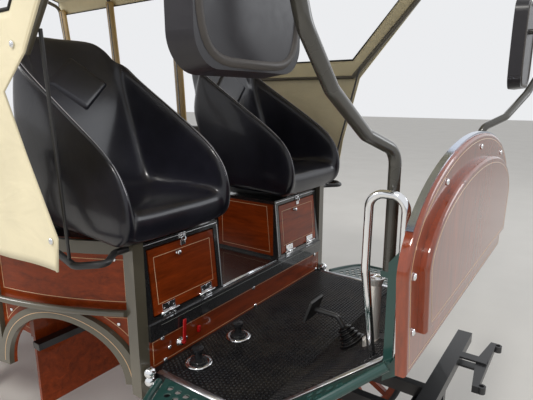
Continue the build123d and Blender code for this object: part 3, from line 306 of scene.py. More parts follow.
# Each finish: how it is made, its colour or the name of the colour that holds it, and its settings
FINISHES = {
    "mahogany": (mahogany, "mahogany"),
    "mahogany_upright": (mahogany, "mahogany", (22.0, 22.0, 3.0)),
    "mahogany_cross": (mahogany, "mahogany", (22.0, 3.0, 22.0), 0.5),
    "mahogany_dash": (mahogany, "mahogany", (22.0, 22.0, 3.0), 1.0, 1.75),
    "mahogany_deep": (mahogany, "mahogany", (3.0, 22.0, 22.0), 0.25),
    "wheel_paint": (mahogany, "mahogany", (9.0, 9.0, 9.0)),
    "line": (paint, "line", 0.35, 0.8, 0.05),
    "grey_line": (paint, (0.20, 0.21, 0.19), 0.35, 0.6, 0.05),
    "black_paint": (paint, "black", 0.25, 0.8),
    "black_steel": (paint, "steel", 0.42, 0.2),
    "olive_paint": (paint, "olive", 0.3, 0.7),
    "tan_paint": (paint, (0.46, 0.31, 0.12), 0.4, 0.4, 0.15),
    "green_paint": (paint, "green", 0.3, 0.4),
    "arm_paint": (paint, (0.050, 0.047, 0.038), 0.28, 0.7),
    "chrome": (metal, (0.86, 0.87, 0.89), 0.08),
    "satin_metal": (metal, (0.86, 0.83, 0.78), 0.24, 0.05, 0.5),
    "white_metal": (metal, (0.80, 0.81, 0.84), 0.3),
    # polished_trim's blue tint is a painted reflection of a blue sky; the metal itself is plain chrome colour
    "polished_trim": (metal, (0.62, 0.70, 0.85), 0.15, 0.04),
    "mirror_glass": (metal, (0.9, 0.9, 0.92), 0.04, 0.01),
    "floor_rubber": (rubber, (0.004, 0.004, 0.005), 0.45, (0.018, 0.016, 0.014)),
    # The studs' lighter patches are partly dust and partly a painted glint that lifts them off the darker mat
    "stud_rubber": (rubber, (0.007, 0.007, 0.009), 0.24, (0.040, 0.034, 0.027)),
    "gaiter_rubber": (rubber, (0.010, 0.010, 0.011), 0.26, (0.022, 0.021, 0.020)),
    "bellows_rubber": (rubber, (0.012, 0.012, 0.012), 0.5, (0.03, 0.03, 0.03)),
    "tyre_rubber": (rubber, (0.018, 0.018, 0.018), 0.62, (0.075, 0.068, 0.058)),
    "hem_cloth": (rubber, (0.016, 0.015, 0.014), 0.7, (0.03, 0.028, 0.025)),
    "knob_black": (gloss, (0.018, 0.018, 0.02)),
    "red_plastic": (gloss, (0.45, 0.008, 0.008)),
    "mirror_plastic": (gloss, (0.022, 0.020, 0.024), 0.30),
    "mirror_rim": (gloss, (0.012, 0.012, 0.014), 0.5),
    "mirror_band": (gloss, (0.075, 0.066, 0.060), 0.40),
    # The welt's light grey is a painted highlight along the lit wing edges; the welt itself is black leather
    "welt_leather": (gloss, (0.075, 0.078, 0.09), 0.3),
    "thread": (gloss, (0.42, 0.42, 0.46), 0.6),
    "seat_leather": (leather, "leather"),
    "hood_cloth": (cloth, "cloth"),
}


def finishes(name):
    """The finish of that name, made when it is first asked for. Its label isn't one of the frame's own."""
    label = "finish_" + name
    material = bpy.data.materials.get(label)
    if material is None:
        maker, colour, *settings = FINISHES[name]
        if isinstance(colour, str):
            colour = tuple(getattr(colours(), colour))
        material = bpy.data.materials.new(label)
        material.use_nodes = True
        maker(material.node_tree, colour, *settings)
    return material


# Shapes

def add_piece(name, mesh, finish, body="carriage", smooth=True):
    """Object for a finished mesh, with its finish and body."""
    if smooth:
        mesh.polygons.foreach_set("use_smooth", [True] * len(mesh.polygons))
    mesh.materials.clear()
    mesh.materials.append(finishes(finish))
    piece = bpy.data.objects.new(name, mesh)
    bpy.context.scene.collection.objects.link(piece)
    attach(piece, body)
    return piece


def from_bmesh(name, bm, finish, body="carriage", smooth=True, outward=True):
    if outward:
        bmesh.ops.recalc_face_normals(bm, faces=bm.faces)
    mesh = bpy.data.meshes.new(name)
    bm.to_mesh(mesh)
    bm.free()
    return add_piece(name, mesh, finish, body, smooth)


def modify(piece, kind, **settings):
    modifier = piece.modifiers.new(kind.title(), kind)
    for key, value in settings.items():
        setattr(modifier, key, value)
    return modifier


def settle(piece):
    """Replace the piece's mesh by what its modifiers give."""
    bpy.context.view_layer.update()
    evaluated = piece.evaluated_get(bpy.context.evaluated_depsgraph_get())
    mesh = bpy.data.meshes.new_from_object(evaluated)
    piece.modifiers.clear()
    piece.data = mesh


def surface_of(piece):
    bpy.context.view_layer.update()
    return BVHTree.FromObject(piece, bpy.context.evaluated_depsgraph_get())


def ring_strip(bm, rings, closed_ring=True, cap=False):
    """Faces between rings of points."""
    rows = [[bm.verts.new(point) for point in ring] for ring in rings]
    count = len(rows[0])
    for row, after in zip(rows, rows[1:]):
        for i in range(count if closed_ring else count - 1):
            j = (i + 1) % count
            bm.faces.new((row[i], row[j], after[j], after[i]))
    if cap:
        bm.faces.new(rows[0][::-1])
        bm.faces.new(rows[-1])


def add_lathe(bm, profile, centre, axis, steps=32):
    """Turn a profile of (radius, height) points about an axis."""
    turn = Z.rotation_difference(Vector(axis)).to_matrix()
    rings = []
    for radius, height in profile:
        ring = []
        for step in range(steps):
            angle = 2 * math.pi * step / steps
            point = (max(radius, 1e-5) * math.cos(angle), max(radius, 1e-5) * math.sin(angle), height)
            ring.append(Vector(centre) + turn @ Vector(point))
        rings.append(ring)
    ring_strip(bm, rings, cap=True)


def smooth_path(points, steps):
    """Points along a Catmull-Rom curve through the given ones."""
    points = [Vector(point) for point in points]
    path = []
    for a, b, c, d in zip(points[:1] + points, points, points[1:], points[2:] + points[-1:]):
        bend, twist = 2 * a - 5 * b + 4 * c - d, 3 * b - a - 3 * c + d
        for step in range(steps):
            t = step / steps
            path.append(0.5 * (2 * b + (c - a) * t + bend * t ** 2 + twist * t ** 3))
    return path + points[-1:]


def add_tube(bm, path, radius, steps=12, closed=False):
    """Round tube along a path of points."""
    path = [Vector(point) for point in path]
    normal = None
    rings = []
    for i, point in enumerate(path):
        before = path[i - 1] if closed or i else point
        after = path[(i + 1) % len(path)] if closed or i < len(path) - 1 else point
        along = (after - before).normalized()
        if normal is None:
            normal = along.orthogonal().normalized()
        normal = (normal - along * normal.dot(along)).normalized()
        across = along.cross(normal)
        rings.append([
            point + radius * (math.cos(a) * normal + math.sin(a) * across)
            for a in (2 * math.pi * step / steps for step in range(steps))
        ])
    if closed:
        rings.append(rings[0])
        ring_strip(bm, rings)
        bmesh.ops.remove_doubles(bm, verts=bm.verts, dist=1e-6)
    else:
        ring_strip(bm, rings, cap=True)


def add_block(bm, centre, size, turn=None, bevel=0.0):
    """Block with its edges eased."""
    made = bmesh.ops.create_cube(bm, size=1.0)
    verts = made["verts"]
    bmesh.ops.scale(bm, verts=verts, vec=size)
    if bevel:
        edges = list({edge for vert in verts for edge in vert.link_edges})
        made = bmesh.ops.bevel(bm, geom=edges, offset=bevel, segments=2, affect="EDGES", profile=0.7)
        bevelled = {vert for face in made["faces"] for vert in face.verts}
        verts = list(bevelled | {vert for vert in verts if vert.is_valid})
    if turn:
        bmesh.ops.rotate(bm, verts=verts, matrix=turn, cent=(0, 0, 0))
    bmesh.ops.translate(bm, verts=verts, vec=centre)


def add_inlay(bm, points, normal, width, lift=0.0004, closed=True):
    """Flat line laid on a surface, with mitred corners. normal is one vector, or one for each point."""
    points = [Vector(point) for point in points]
    count = len(points)
    normals = [Vector(n) for n in normal] if isinstance(normal, list) else [Vector(normal)] * count
    rows = []
    for i, point in enumerate(points):
        before = points[i - 1] if closed or i else point
        after = points[(i + 1) % count] if closed or i < count - 1 else point
        into, out = point - before, after - point
        into, out = (into if into.length > 1e-7 else out), (out if out.length > 1e-7 else into)
        across_in, across_out = normals[i].cross(into.normalized()), normals[i].cross(out.normalized())
        mitre = (across_in + across_out).normalized()
        reach = mitre * min(2.5, 1 / max(0.3, mitre.dot(across_in))) * width / 2
        raised = point + normals[i] * lift
        rows.append([point - reach, raised - reach, raised + reach, point + reach])
    if closed:
        rows.append(rows[0])
    ring_strip(bm, rows, closed_ring=False)
    bmesh.ops.remove_doubles(bm, verts=bm.verts, dist=1e-6)


def add_button(bm, centre, normal, radius, height=None):
    """Small domed stud."""
    height = height or radius * 0.6
    profile = [(radius, 0.0), (radius, height * 0.35)]
    profile += [(radius * math.cos(a), height * (0.35 + 0.65 * math.sin(a))) for a in (0.5, 1.0, 1.4)]
    add_lathe(bm, profile, centre, normal, 12)


def side_y(x):
    """Outer face of the body side at a place along it."""
    flare = SIDE_BACK_Y - SIDE_FRONT_Y
    run = SIDE_FRONT_X - FLARE_END_X
    radius = (run ** 2 + flare ** 2) / (2 * flare)
    return SIDE_BACK_Y - radius + math.sqrt(radius ** 2 - max(x - FLARE_END_X, 0) ** 2)


def side_normal(x, side):
    slope = (side_y(x + 0.01) - side_y(x - 0.01)) / 0.02
    return Vector((-slope, 1, 0)).normalized() * Vector((1, side, 1))


# Frame finishes

NODE_FINISH = {
    "side_panel_right": "mahogany_deep", "side_panel_left": "mahogany_deep",
    "footwell": "mahogany_deep", "bench_right": "mahogany_deep", "bench_left": "mahogany_deep",
    "heel_board": "mahogany_cross", "rear_end": "mahogany_cross", "rear_door": "mahogany_upright",
    "locker_door_right": "mahogany_cross", "locker_door_left": "mahogany_cross",
    "dash_board": "mahogany_dash", "whip_holder": "satin_metal",
}


class WAGONETTE_OT_frame_finishes(bpy.types.Operator):
    """Give every node of the frame its finish"""

    bl_idname = "wagonette.frame_finishes"
    bl_label = "Frame finishes"

    def execute(self, context):
        slots = {part["node"]: part["material_slot"] for part in frame["record"]["subparts"]}
        for name, node in frame["nodes"].items():
            finish = finishes(NODE_FINISH.get(name, slots[name]))
            node.data.materials.clear()
            node.data.materials.append(finish)
        return {"FINISHED"}


# Bucket seats

# Stations along a seat from its front foot to its head, from the heel board and the seat's underside:
# inner x, inner z, ridge x, ridge z, base x, base z, half width, wing width
SEAT_STATIONS = (
    (0.026, 0.004, 0.026, 0.004, 0.024, 0.000, 0.236, 0.040),
    (0.050, 0.040, 0.060, 0.045, -0.020, 0.000, 0.246, 0.042),
    (0.050, 0.088, 0.068, 0.105, -0.060, 0.000, 0.249, 0.044),
    (0.026, 0.112, 0.056, 0.185, -0.120, 0.000, 0.250, 0.046),
    (-0.060, 0.116, 0.008, 0.258, -0.190, 0.000, 0.250, 0.048),
    (-0.180, 0.104, -0.080, 0.324, -0.260, 0.000, 0.250, 0.050),
    (-0.290, 0.096, -0.180, 0.386, -0.330, 0.000, 0.250, 0.050),
    (-0.352, 0.120, -0.280, 0.448, -0.400, 0.006, 0.249, 0.050),
    (-0.388, 0.215, -0.365, 0.500, -0.450, 0.060, 0.246, 0.048),
    (-0.430, 0.345, -0.438, 0.546, -0.510, 0.230, 0.246, 0.052),
    (-0.462, 0.435, -0.492, 0.586, -0.550, 0.345, 0.244, 0.048),
    (-0.478, 0.480, -0.508, 0.598, -0.566, 0.400, 0.232, 0.044),
    (-0.490, 0.510, -0.512, 0.604, -0.582, 0.450, 0.190, 0.022),
    (-0.524, 0.590, -0.544, 0.640, -0.618, 0.555, 0.186, 0.020),
    (-0.556, 0.652, -0.568, 0.666, -0.640, 0.630, 0.164, 0.018),
    (-0.590, 0.686, -0.594, 0.688, -0.640, 0.676, 0.132, 0.014),
)

# Station at which the wings run out into the head
WING_END = 11


def seat_ring(station):
    """Half ring of a seat from the middle of its pan, over the wing, to the middle of its base: y, x, z."""
    ix, iz, rx, rz, bx, bz, half, wing = station
    inner = half - wing

    def mix(x0, z0, x1, z1, t):
        return x0 + (x1 - x0) * t, z0 + (z1 - z0) * t

    pan = ((inner * 0.97, 0.07), (inner + wing * 0.10, 0.42), (inner + wing * 0.24, 0.84))
    shell = (
        (inner + wing * 0.74, -0.006), (half - 0.004, 0.07), (half + 0.002, 0.28), (half + 0.001, 0.62),
        (half - 0.004, 0.92),
    )
    return [
        (0.0, ix, iz), (inner * 0.42, ix, iz - 0.002), (inner * 0.80, ix, iz + 0.001),
        *((y, *mix(ix, iz, rx, rz, t)) for y, t in pan), (inner + wing * 0.46, rx, rz),
        *((y, *mix(rx, rz, bx, bz, t)) for y, t in shell), (half * 0.93, bx, bz), (0.0, bx, bz),
    ]


def seat_point(side, y, x, z):
    return Vector((HEEL_X + x, side * SEAT_Y + y, SEAT_LOW + z))


def ridge_path(side, edge, across, forward=3):
    """Path along a seat's wing: across is the share of the wing's width from its inner edge."""
    path = []
    for station in SEAT_STATIONS[forward:WING_END]:
        half, wing = station[6], station[7]
        path.append(seat_point(side, edge * (half - wing + wing * across), station[2], station[3]))
    return smooth_path(path, 10)


def on_surface(tree, points, towards, lift=0.0, reach=1.0):
    """Points moved along a direction onto a surface, with its normals. Hits beyond reach are left out."""
    placed = []
    for point in points:
        start = point - towards * 0.08
        hit, normal, _, _ = tree.ray_cast(start, towards)
        if hit is not None and (hit - point).length < reach:
            if normal.dot(towards) > 0:
                normal = -normal
            placed.append((hit + normal * lift, normal))
    return placed


def add_stitches(bm, placed, length, gap, width):
    """Row of raised stitches along points that lie on a surface."""
    along, start = 0.0, None
    for (a, normal), (b, _) in zip(placed, placed[1:]):
        if start is None:
            start = a
        along += (b - a).length
        if along >= length:
            run = (b - start).normalized()
            across = normal.cross(run) * width / 2
            ends = [start + run * 0.0004, start + (b - start) * (length / (length + gap))]
            mid = (ends[0] + ends[1]) / 2 + normal * width * 0.7
            marks = (ends[0], mid - across, ends[1], mid + across, mid + normal * width * 0.3)
            verts = [bm.verts.new(mark) for mark in marks]
            for i in range(4):
                bm.faces.new((verts[i], verts[(i + 1) % 4], verts[4]))
            along, start = 0.0, None


class WAGONETTE_OT_bucket_seats(bpy.types.Operator):
    """Leather bucket seats with wings, welts, stitching and a diamond patch"""

    bl_idname = "wagonette.bucket_seats"
    bl_label = "Bucket seats"

    def execute(self, context):
        for name, side in SIDES:
            bm = bmesh.new()
            rings = []
            for station in SEAT_STATIONS:
                half_ring = seat_ring(station)
                ring = [seat_point(side, y, x, z) for y, x, z in half_ring]
                ring += [seat_point(side, -y, x, z) for y, x, z in reversed(half_ring[1:-1])]
                rings.append(ring)
            ring_strip(bm, rings, cap=True)
            seat = from_bmesh("bucket_seat_" + name, bm, "seat_leather")
            modify(seat, "SUBSURF", levels=2, render_levels=2)
            settle(seat)
            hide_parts("seat_" + name)
            tree = surface_of(seat)
            self.trim(tree, name, side)
        return {"FINISHED"}

    def trim(self, tree, name, side):
        welts, seams, painted_ridge_highlight = bmesh.new(), bmesh.new(), bmesh.new()
        for edge in (-1, 1):
            down = Vector((-0.25, -edge * 0.25, -1)).normalized()
            for row in range(sizes().stitch_rows):
                fine = smooth_path(ridge_path(side, edge, 0.30 + 0.22 * row), 4)
                add_stitches(seams, on_surface(tree, fine, down, reach=0.02), sizes().stitch, 0.0024, 0.0014)
            # Thin light grey line along each wing's ridge, in the thread finish: a painted highlight where the
            # rounded ridge catches the light
            fine = smooth_path(ridge_path(side, edge, 0.62), 2)
            add_tube(painted_ridge_highlight, [point for point, _ in on_surface(tree, fine, down, 0.0004, 0.02)], 0.0013, 8)
            inward = Vector((0.1, -edge, -0.55)).normalized()
            welt = on_surface(tree, ridge_path(side, edge, 0.96, 1), inward, 0.0005, 0.03)
            add_tube(welts, [point for point, _ in welt], 0.0024, 8)
        from_bmesh("seat_stitching_" + name, seams, "thread")
        # The welt's light grey finish is a painted highlight
        from_bmesh("seat_welt_" + name, welts, "welt_leather")
        # The light line along the ridge is a painted highlight
        from_bmesh("seat_piping_" + name, painted_ridge_highlight, "thread")
        self.patch(tree, name, side)

    def patch(self, tree, name, side):
        """Square patch set on its corner in the middle of the back."""
        bm = bmesh.new()
        centre = seat_point(side, 0, -0.492, 0.512)
        up = Vector((-0.047, 0, 0.130)).normalized()
        across = Vector((0, 1, 0))
        into = Vector((-0.9, 0, -0.34)).normalized()
        wide, tall, count = 0.133, 0.112, 16
        grid = []
        for i in range(count + 1):
            row = []
            for j in range(count + 1):
                u, v = i / count * 2 - 1, j / count * 2 - 1
                edge = max(abs(u), abs(v))
                lift = 0.007 if edge < 0.92 else -0.001
                point = centre + across * (u - v) / 2 * wide + up * (u + v) / 2 * tall
                placed = on_surface(tree, [point - into * 0.05], into, lift)
                row.append(bm.verts.new(placed[0][0] if placed else point))
            grid.append(row)
        for i in range(count):
            for j in range(count):
                bm.faces.new((grid[i][j], grid[i + 1][j], grid[i + 1][j + 1], grid[i][j + 1]))
        patch = from_bmesh("seat_patch_" + name, bm, "seat_leather")
        modify(patch, "SUBSURF", levels=1, render_levels=1)


# Bench cushions

# Most travel of a cushion's points, steps of its simulation, cushions along a bench, and their depths
SWELL = 0.010
SWELL_STEPS = 12
BENCH_PLACES = 3
SEAT_DEPTH, BACK_DEPTH = 0.394, 0.0797


def padded_block(name, low, high, node):
    """Cushion swelled by a cloth simulation inside its box, no point of it by more than SWELL."""
    low, high = Vector(low), Vector(high)
    bm = bmesh.new()
    size = high - low
    add_block(bm, (low + high) / 2, size - Vector((0.004, 0.02, 0.010)), bevel=min(size) * 0.2)
    cushion = from_bmesh(name, bm, "seat_leather")
    modify(cushion, "REMESH", mode="VOXEL", voxel_size=0.017)
    settle(cushion)
    starts = [vert.co.copy() for vert in cushion.data.vertices]
    settings = modify(cushion, "CLOTH").settings
    settings.use_pressure = True
    settings.uniform_pressure_force = 3.0
    settings.effector_weights.gravity = 0.0
    settings.quality = 3
    for step in range(SWELL_STEPS):
        bpy.context.scene.frame_set(step + 1)
    settle(cushion)
    bpy.context.scene.frame_set(1)
    for vert, start in zip(cushion.data.vertices, starts):
        moved = vert.co - start
        place = start + moved * min(1.0, SWELL / max(moved.length, SWELL))
        vert.co = Vector(min(max(v, a), b) for v, a, b in zip(place, low, high))
    cushion.data.materials.clear()
    cushion.data.materials.append(finishes("seat_leather"))
    cushion.data.polygons.foreach_set("use_smooth", [True] * len(cushion.data.polygons))
    modify(cushion, "SUBSURF", levels=1, render_levels=1)
    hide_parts(node)


class WAGONETTE_OT_bench_pads(bpy.types.Operator):
    """Three seat and back cushions on each side bench"""

    bl_idname = "wagonette.bench_pads"
    bl_label = "Bench pads"

    def execute(self, context):
        for node, label, depth in (
            ("bench_cushions", "seat", SEAT_DEPTH), ("bench_backrests", "back", BACK_DEPTH),
        ):
            low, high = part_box(node)
            length = (high[0] - low[0]) / BENCH_PLACES
            for name, side in SIDES:
                y0, y1 = sorted((side * (high[1] - depth), side * high[1]))
                for i in range(BENCH_PLACES):
                    start = (low[0] + i * length + 0.001, y0, low[2])
                    end = (low[0] + (i + 1) * length - 0.001, y1, high[2])
                    padded_block(f"bench_{label}_{name}_{i + 1}", start, end, node)
        return {"FINISHED"}


# Hood

CLOTH_THICK = 0.003
# Sag of the roof between two bows, and ripples of its valance and of the side sheets
ROOF_SAG, VALANCE_RIPPLE, SHEET_RIPPLE = 0.012, 0.003, 0.007
# Bows, from the heel board
BOW_PLACES = (-2.82, -2.12, -1.40, -0.70, 0.61)
# Foot and head of each lath behind the seats, from the heel board
LATH_PLACES = ((-1.350, -1.400), (-2.040, -2.120), (-2.640, -2.780))
VALANCE_ROWS, ROOF_ACROSS, ROOF_ALONG = 5, 36, 110
# Rows of each side sheet, from the driver's floor and the heel board: height of the rear edge and of the
# front edge, x of the rear edge, of the window's two sides and of the front edge, and faces to the next row
SHEET_HEAD = (
    (1.639, 1.639, -0.690, -0.604, 0.425, 0.545, 3),
    (1.568, 1.568, -0.688, -0.600, 0.366, 0.486, 14),
    (1.140, 1.140, -0.674, -0.580, 0.000, 0.128, 4),
)
SHEET_ROWS = {
    "right": SHEET_HEAD + (
        (1.040, 1.040, -0.671, -0.570, -0.030, 0.045, 4),
        (0.950, 0.950, -0.668, -0.560, -0.150, -0.075, 6),
        (0.790, 0.790, -0.662, -0.520, -0.100, 0.000, 8),
        (0.590, 0.590, -0.652, -0.470, -0.020, 0.105, 4),
        (0.472, 0.500, -0.640, -0.450, -0.030, 0.090, 0),
    ),
    "left": SHEET_HEAD + (
        (1.040, 1.040, -0.671, -0.570, -0.030, 0.045, 13),
        (0.690, 0.690, -0.655, -0.490, -0.120, -0.045, 8),
        (0.472, 0.498, -0.640, -0.450, -0.150, -0.075, 0),
    ),
}
# Faces across a sheet: behind the window, under it and before it. The window is the middle of the second row
SHEET_ACROSS, WINDOW = (5, 22, 7), (1, 1)


class WAGONETTE_OT_hood_cloth(bpy.types.Operator):
    """Roof sheet, side sheets, their edges and snaps, and the laths on the bows"""

    bl_idname = "wagonette.hood_cloth"
    bl_label = "Hood cloth"

    def execute(self, context):
        self.roof()
        for name, side in SIDES:
            self.side_sheet(name, side)
            self.laths(name, side)
        return {"FINISHED"}

    def laths(self, name, side):
        """Flat ash laths round the uprights of the bows behind the seats, each with a black line."""
        laths, lines = bmesh.new(), bmesh.new()
        middle = side * (HOOD_HALF - 0.014)
        low, high = BELT_Z + 0.235, EAVES_Z - 0.085
        for foot, head in LATH_PLACES:
            rings = []
            for z, wide in ((low, 0.036), (low + 0.012, 0.044), (high - 0.012, 0.044), (high, 0.036)):
                x = HEEL_X + foot + (head - foot) * (z - BELT_Z - 0.2) / (EAVES_Z - BELT_Z - 0.26)
                rings.append([
                    Vector((x + wide * math.cos(a), middle + 0.0175 * math.sin(a), z))
                    for a in (2 * math.pi * k / 20 for k in range(20))
                ])
            ring_strip(laths, rings, cap=True)
            for way in (-1, 1):
                ends = [sum(ring, Vector()) / 20 + Vector((0, way * 0.0174, 0)) for ring in rings[1:3]]
                add_inlay(lines, ends, (0, way, 0), 0.012, 0.0006, closed=False)
        from_bmesh("bow_laths_" + name, laths, "tan_paint")
        from_bmesh("bow_lath_lines_" + name, lines, "black_paint")

    def roof(self):
        """Curved sheet over the bows, sagging a little between them, with a hanging valance."""
        bows = [HEEL_X + place for place in BOW_PLACES]
        half = HOOD_HALF + 0.004
        radius = (half ** 2 + CROWN ** 2) / (2 * CROWN)
        hanging = [(-half - 0.003, EAVES_Z - VALANCE * (1 - i / VALANCE_ROWS)) for i in range(VALANCE_ROWS)]
        across = list(hanging)
        for i in range(ROOF_ACROSS + 1):
            y = half * (2 * i / ROOF_ACROSS - 1)
            across.append((y, EAVES_Z + CROWN - radius + math.sqrt(radius ** 2 - y ** 2) - 0.005))
        across += [(-y, z) for y, z in reversed(hanging)]
        rows = []
        for i in range(ROOF_ALONG + 1):
            x = HOOD_REAR + (HOOD_FRONT - HOOD_REAR) * i / ROOF_ALONG
            behind = max([bow for bow in bows if bow <= x], default=bows[0])
            ahead = min([bow for bow in bows if bow > x], default=bows[-1])
            span = ahead - behind
            sag = ROOF_SAG * math.sin(math.pi * (x - behind) / span) if span > 0.01 else 0.0
            row = []
            for y, z in across:
                inside = 1 - min(1.0, abs(y) / half) ** 4
                hang = min(1.0, max(0.0, (EAVES_Z - z) / VALANCE))
                wave = VALANCE_RIPPLE * math.sin(x * 21.0 + y * 2) * hang
                row.append((x, y + math.copysign(wave, y), z - sag * inside))
            rows.append(row)
        bm = bmesh.new()
        ring_strip(bm, rows, closed_ring=False)
        roof = from_bmesh("hood_roof", bm, "hood_cloth", outward=False)
        modify(roof, "SOLIDIFY", thickness=CLOTH_THICK, offset=0.0)
        settle(roof)
        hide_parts("roof_sheet")
        hem, seams = bmesh.new(), bmesh.new()
        for side in (-1, 1):
            y = side * (half + 0.003)
            add_tube(hem, [(x, y, EAVES_Z - 0.118) for x in (HOOD_REAR + 0.01, HOOD_FRONT - 0.01)], 0.004, 8)
        for x in (HOOD_REAR + 0.004, HOOD_FRONT - 0.004):
            add_tube(hem, [(x, y, z - 0.004) for y, z in across], 0.004, 8)
        for x in bows[1:-1]:
            for step in (-0.022, 0.022):
                crown = across[VALANCE_ROWS:-VALANCE_ROWS]
                add_tube(seams, [(x + step, y, z + 0.0014) for y, z in crown], 0.0020, 8)
        from_bmesh("hood_hem", hem, "hem_cloth")
        from_bmesh("hood_seams", seams, "hood_cloth")

    def side_sheet(self, name, side):
        bm = bmesh.new()
        y = side * (HOOD_HALF + 0.004)
        table = SHEET_ROWS[name]

        def at(row, column, u, v):
            edges = [a + (b - a) * v for a, b in zip(table[row], table[row + 1])]
            left, right = edges[2 + column], edges[3 + column]
            x = left + (right - left) * u
            z = edges[0] + (edges[1] - edges[0]) * (x - edges[2]) / (edges[5] - edges[2])
            drop = max(0.0, 1.2 - z)
            wave = SHEET_RIPPLE * math.sin(x * 16.0 + z * 3.0) * min(1.0, drop)
            return Vector((HEEL_X + x, y + wave, FLOOR_Z + z))

        for row, high in enumerate(line[6] for line in table[:-1]):
            for column, wide in enumerate(SHEET_ACROSS):
                if (row, column) == WINDOW:
                    continue
                grid = [
                    [bm.verts.new(at(row, column, i / wide, j / high)) for i in range(wide + 1)]
                    for j in range(high + 1)
                ]
                for j in range(high):
                    for i in range(wide):
                        bm.faces.new((grid[j][i], grid[j][i + 1], grid[j + 1][i + 1], grid[j + 1][i]))
        bmesh.ops.remove_doubles(bm, verts=bm.verts, dist=1e-5)
        area = sum(face.calc_area() for face in bm.faces)
        sheet = from_bmesh("hood_side_" + name, bm, "hood_cloth")
        modify(sheet, "SOLIDIFY", thickness=CLOTH_THICK, offset=0.0)
        settle(sheet)
        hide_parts("hood_sides")
        self.bindings(name, side, y)

    def bindings(self, name, side, y):
        """Dark bound edges of the sheet's rear, foot and window, its plain front fold, and its snaps."""
        table = SHEET_ROWS[name]
        edge, fold, snaps = bmesh.new(), bmesh.new(), bmesh.new()
        front = [(HEEL_X + row[5], y, FLOOR_Z + row[1]) for row in table]
        rear = [(HEEL_X + row[2], y, FLOOR_Z + row[0]) for row in table]
        sill = [(HEEL_X + x, y, FLOOR_Z + 0.474) for x in (-0.637, -0.300)]
        add_tube(edge, rear, 0.0045, 8)
        add_tube(edge, sill, 0.0045, 8)
        window = [
            (HEEL_X + table[row][column], y, FLOOR_Z + table[row][0])
            for row, column in ((1, 3), (1, 4), (2, 4), (2, 3))
        ]
        add_tube(edge, window, 0.0055, 8, closed=True)
        add_tube(fold, front, 0.0036, 8)
        corner = (0.082, 0.581) if side < 0 else (-0.088, 0.530)
        for x, z in (corner, (-0.62, 0.500), (-0.35, 0.500), (-0.60, 1.08), (0.0, 1.06)):
            add_button(snaps, (HEEL_X + x, y + side * 0.003, FLOOR_Z + z), (0, side, 0), 0.009)
        from_bmesh("sheet_binding_" + name, edge, "hem_cloth")
        from_bmesh("sheet_fold_" + name, fold, "hood_cloth")
        from_bmesh("sheet_snaps_" + name, snaps, "chrome")


# Driver's box

# Floor knobs, and the foot of the pedal on the toe board
KNOB_YS = (-0.468, -0.240)
PEDAL_FOOT = TOE_FOOT + TOE_ALONG * 0.190 + Vector((0, -0.205, 0))
# Length of the mat on the level floor and on the toe board
MAT_LEVEL, MAT_SLOPED = 0.425, 0.51


class WAGONETTE_OT_floor_mat(bpy.types.Operator):
    """Studded rubber mat over the floor and the toe board"""

    bl_idname = "wagonette.floor_mat"
    bl_label = "Floor mat"

    def execute(self, context):
        bm = bmesh.new()
        pitch = sizes().stud_pitch
        row_step = pitch * 0.866
        slots = self.fittings()
        for origin, along, up, length in (
            (Vector((HEEL_X + 0.012, 0, FLOOR_Z)), X, Z, MAT_LEVEL),
            (TOE_FOOT + TOE_ALONG * 0.003, TOE_ALONG, TOE_UP, MAT_SLOPED),
        ):
            for i in range(int(length / row_step)):
                point = origin + along * (i + 0.5) * row_step
                half = self.half_width(point.x)
                count = int(half / pitch)
                for j in range(-count, count + 1):
                    y = (j + 0.5 * (i % 2)) * pitch
                    centre = point + Vector((0, y, 0))
                    if abs(y) < half and not any((centre - spot).length < reach for spot, reach in slots):
                        self.stud(bm, centre, along, up, pitch * random.uniform(0.33, 0.38))
        from_bmesh("floor_studs", bm, "stud_rubber", smooth=False)
        return {"FINISHED"}

    def fittings(self):
        """Places that the studs leave free: centre, reach."""
        low, high = corners("floor_knobs")
        spots = [(Vector(((low.x + high.x) / 2, y, FLOOR_Z)), 0.055) for y in KNOB_YS]
        for node, reach in (("whip_holder", 0.05), ("pedal_bellows", 0.07)):
            low, high = corners(node)
            spots.append((Vector(((low.x + high.x) / 2, (low.y + high.y) / 2, low.z + 0.03)), reach))
        return spots

    def half_width(self, x):
        """Half width of the mat, which narrows towards the dash."""
        over = (x - TOE_START) / (DASH_FOOT_X - TOE_START)
        return FLOOR_HALF - 0.036 - max(0.0, over) * (FLOOR_HALF - POST_HALF + 0.004)

    def stud(self, bm, centre, along, up, radius):
        """Six-sided stud with a flat top."""
        across = up.cross(along)
        low, high = [], []
        for k in range(6):
            angle = math.pi / 3 * k
            way = along * math.cos(angle) + across * math.sin(angle)
            low.append(bm.verts.new(centre + way * radius))
            high.append(bm.verts.new(centre + way * radius * 0.62 + up * 0.0028))
        bm.faces.new(high)
        for k in range(6):
            bm.faces.new((low[k], low[(k + 1) % 6], high[(k + 1) % 6], high[k]))


# Hinges of a locker's door along its foot, widths of their leaves and barrels, and screws along a leaf
HINGE_PLACES = (-0.098, 0.098)
HINGE_LEAF, HINGE_BARREL = 0.060, 0.084
SCREWS = (-0.022, 0.0, 0.022)


def locker_point(side, along, up, out=0.0):
    """Point on a locker's leaning front: along from its middle, up from the deck, out from the face."""
    x = HEEL_X - up * math.sin(LOCKER_LEAN) + out * math.cos(LOCKER_LEAN)
    z = DECK_Z + up * math.cos(LOCKER_LEAN) + out * math.sin(LOCKER_LEAN)
    return Vector((x, side * LOCKER_MID + along, z))


LOCKER_OUTWARD = Vector((math.cos(LOCKER_LEAN), 0, math.sin(LOCKER_LEAN)))
LOCKER_TURN = Matrix.Rotation(-LOCKER_LEAN, 3, "Y")
# A locker's door: half width, foot over the deck and height
DOOR_HALF, DOOR_LOW, DOOR_H = 0.165, 0.021, 0.236


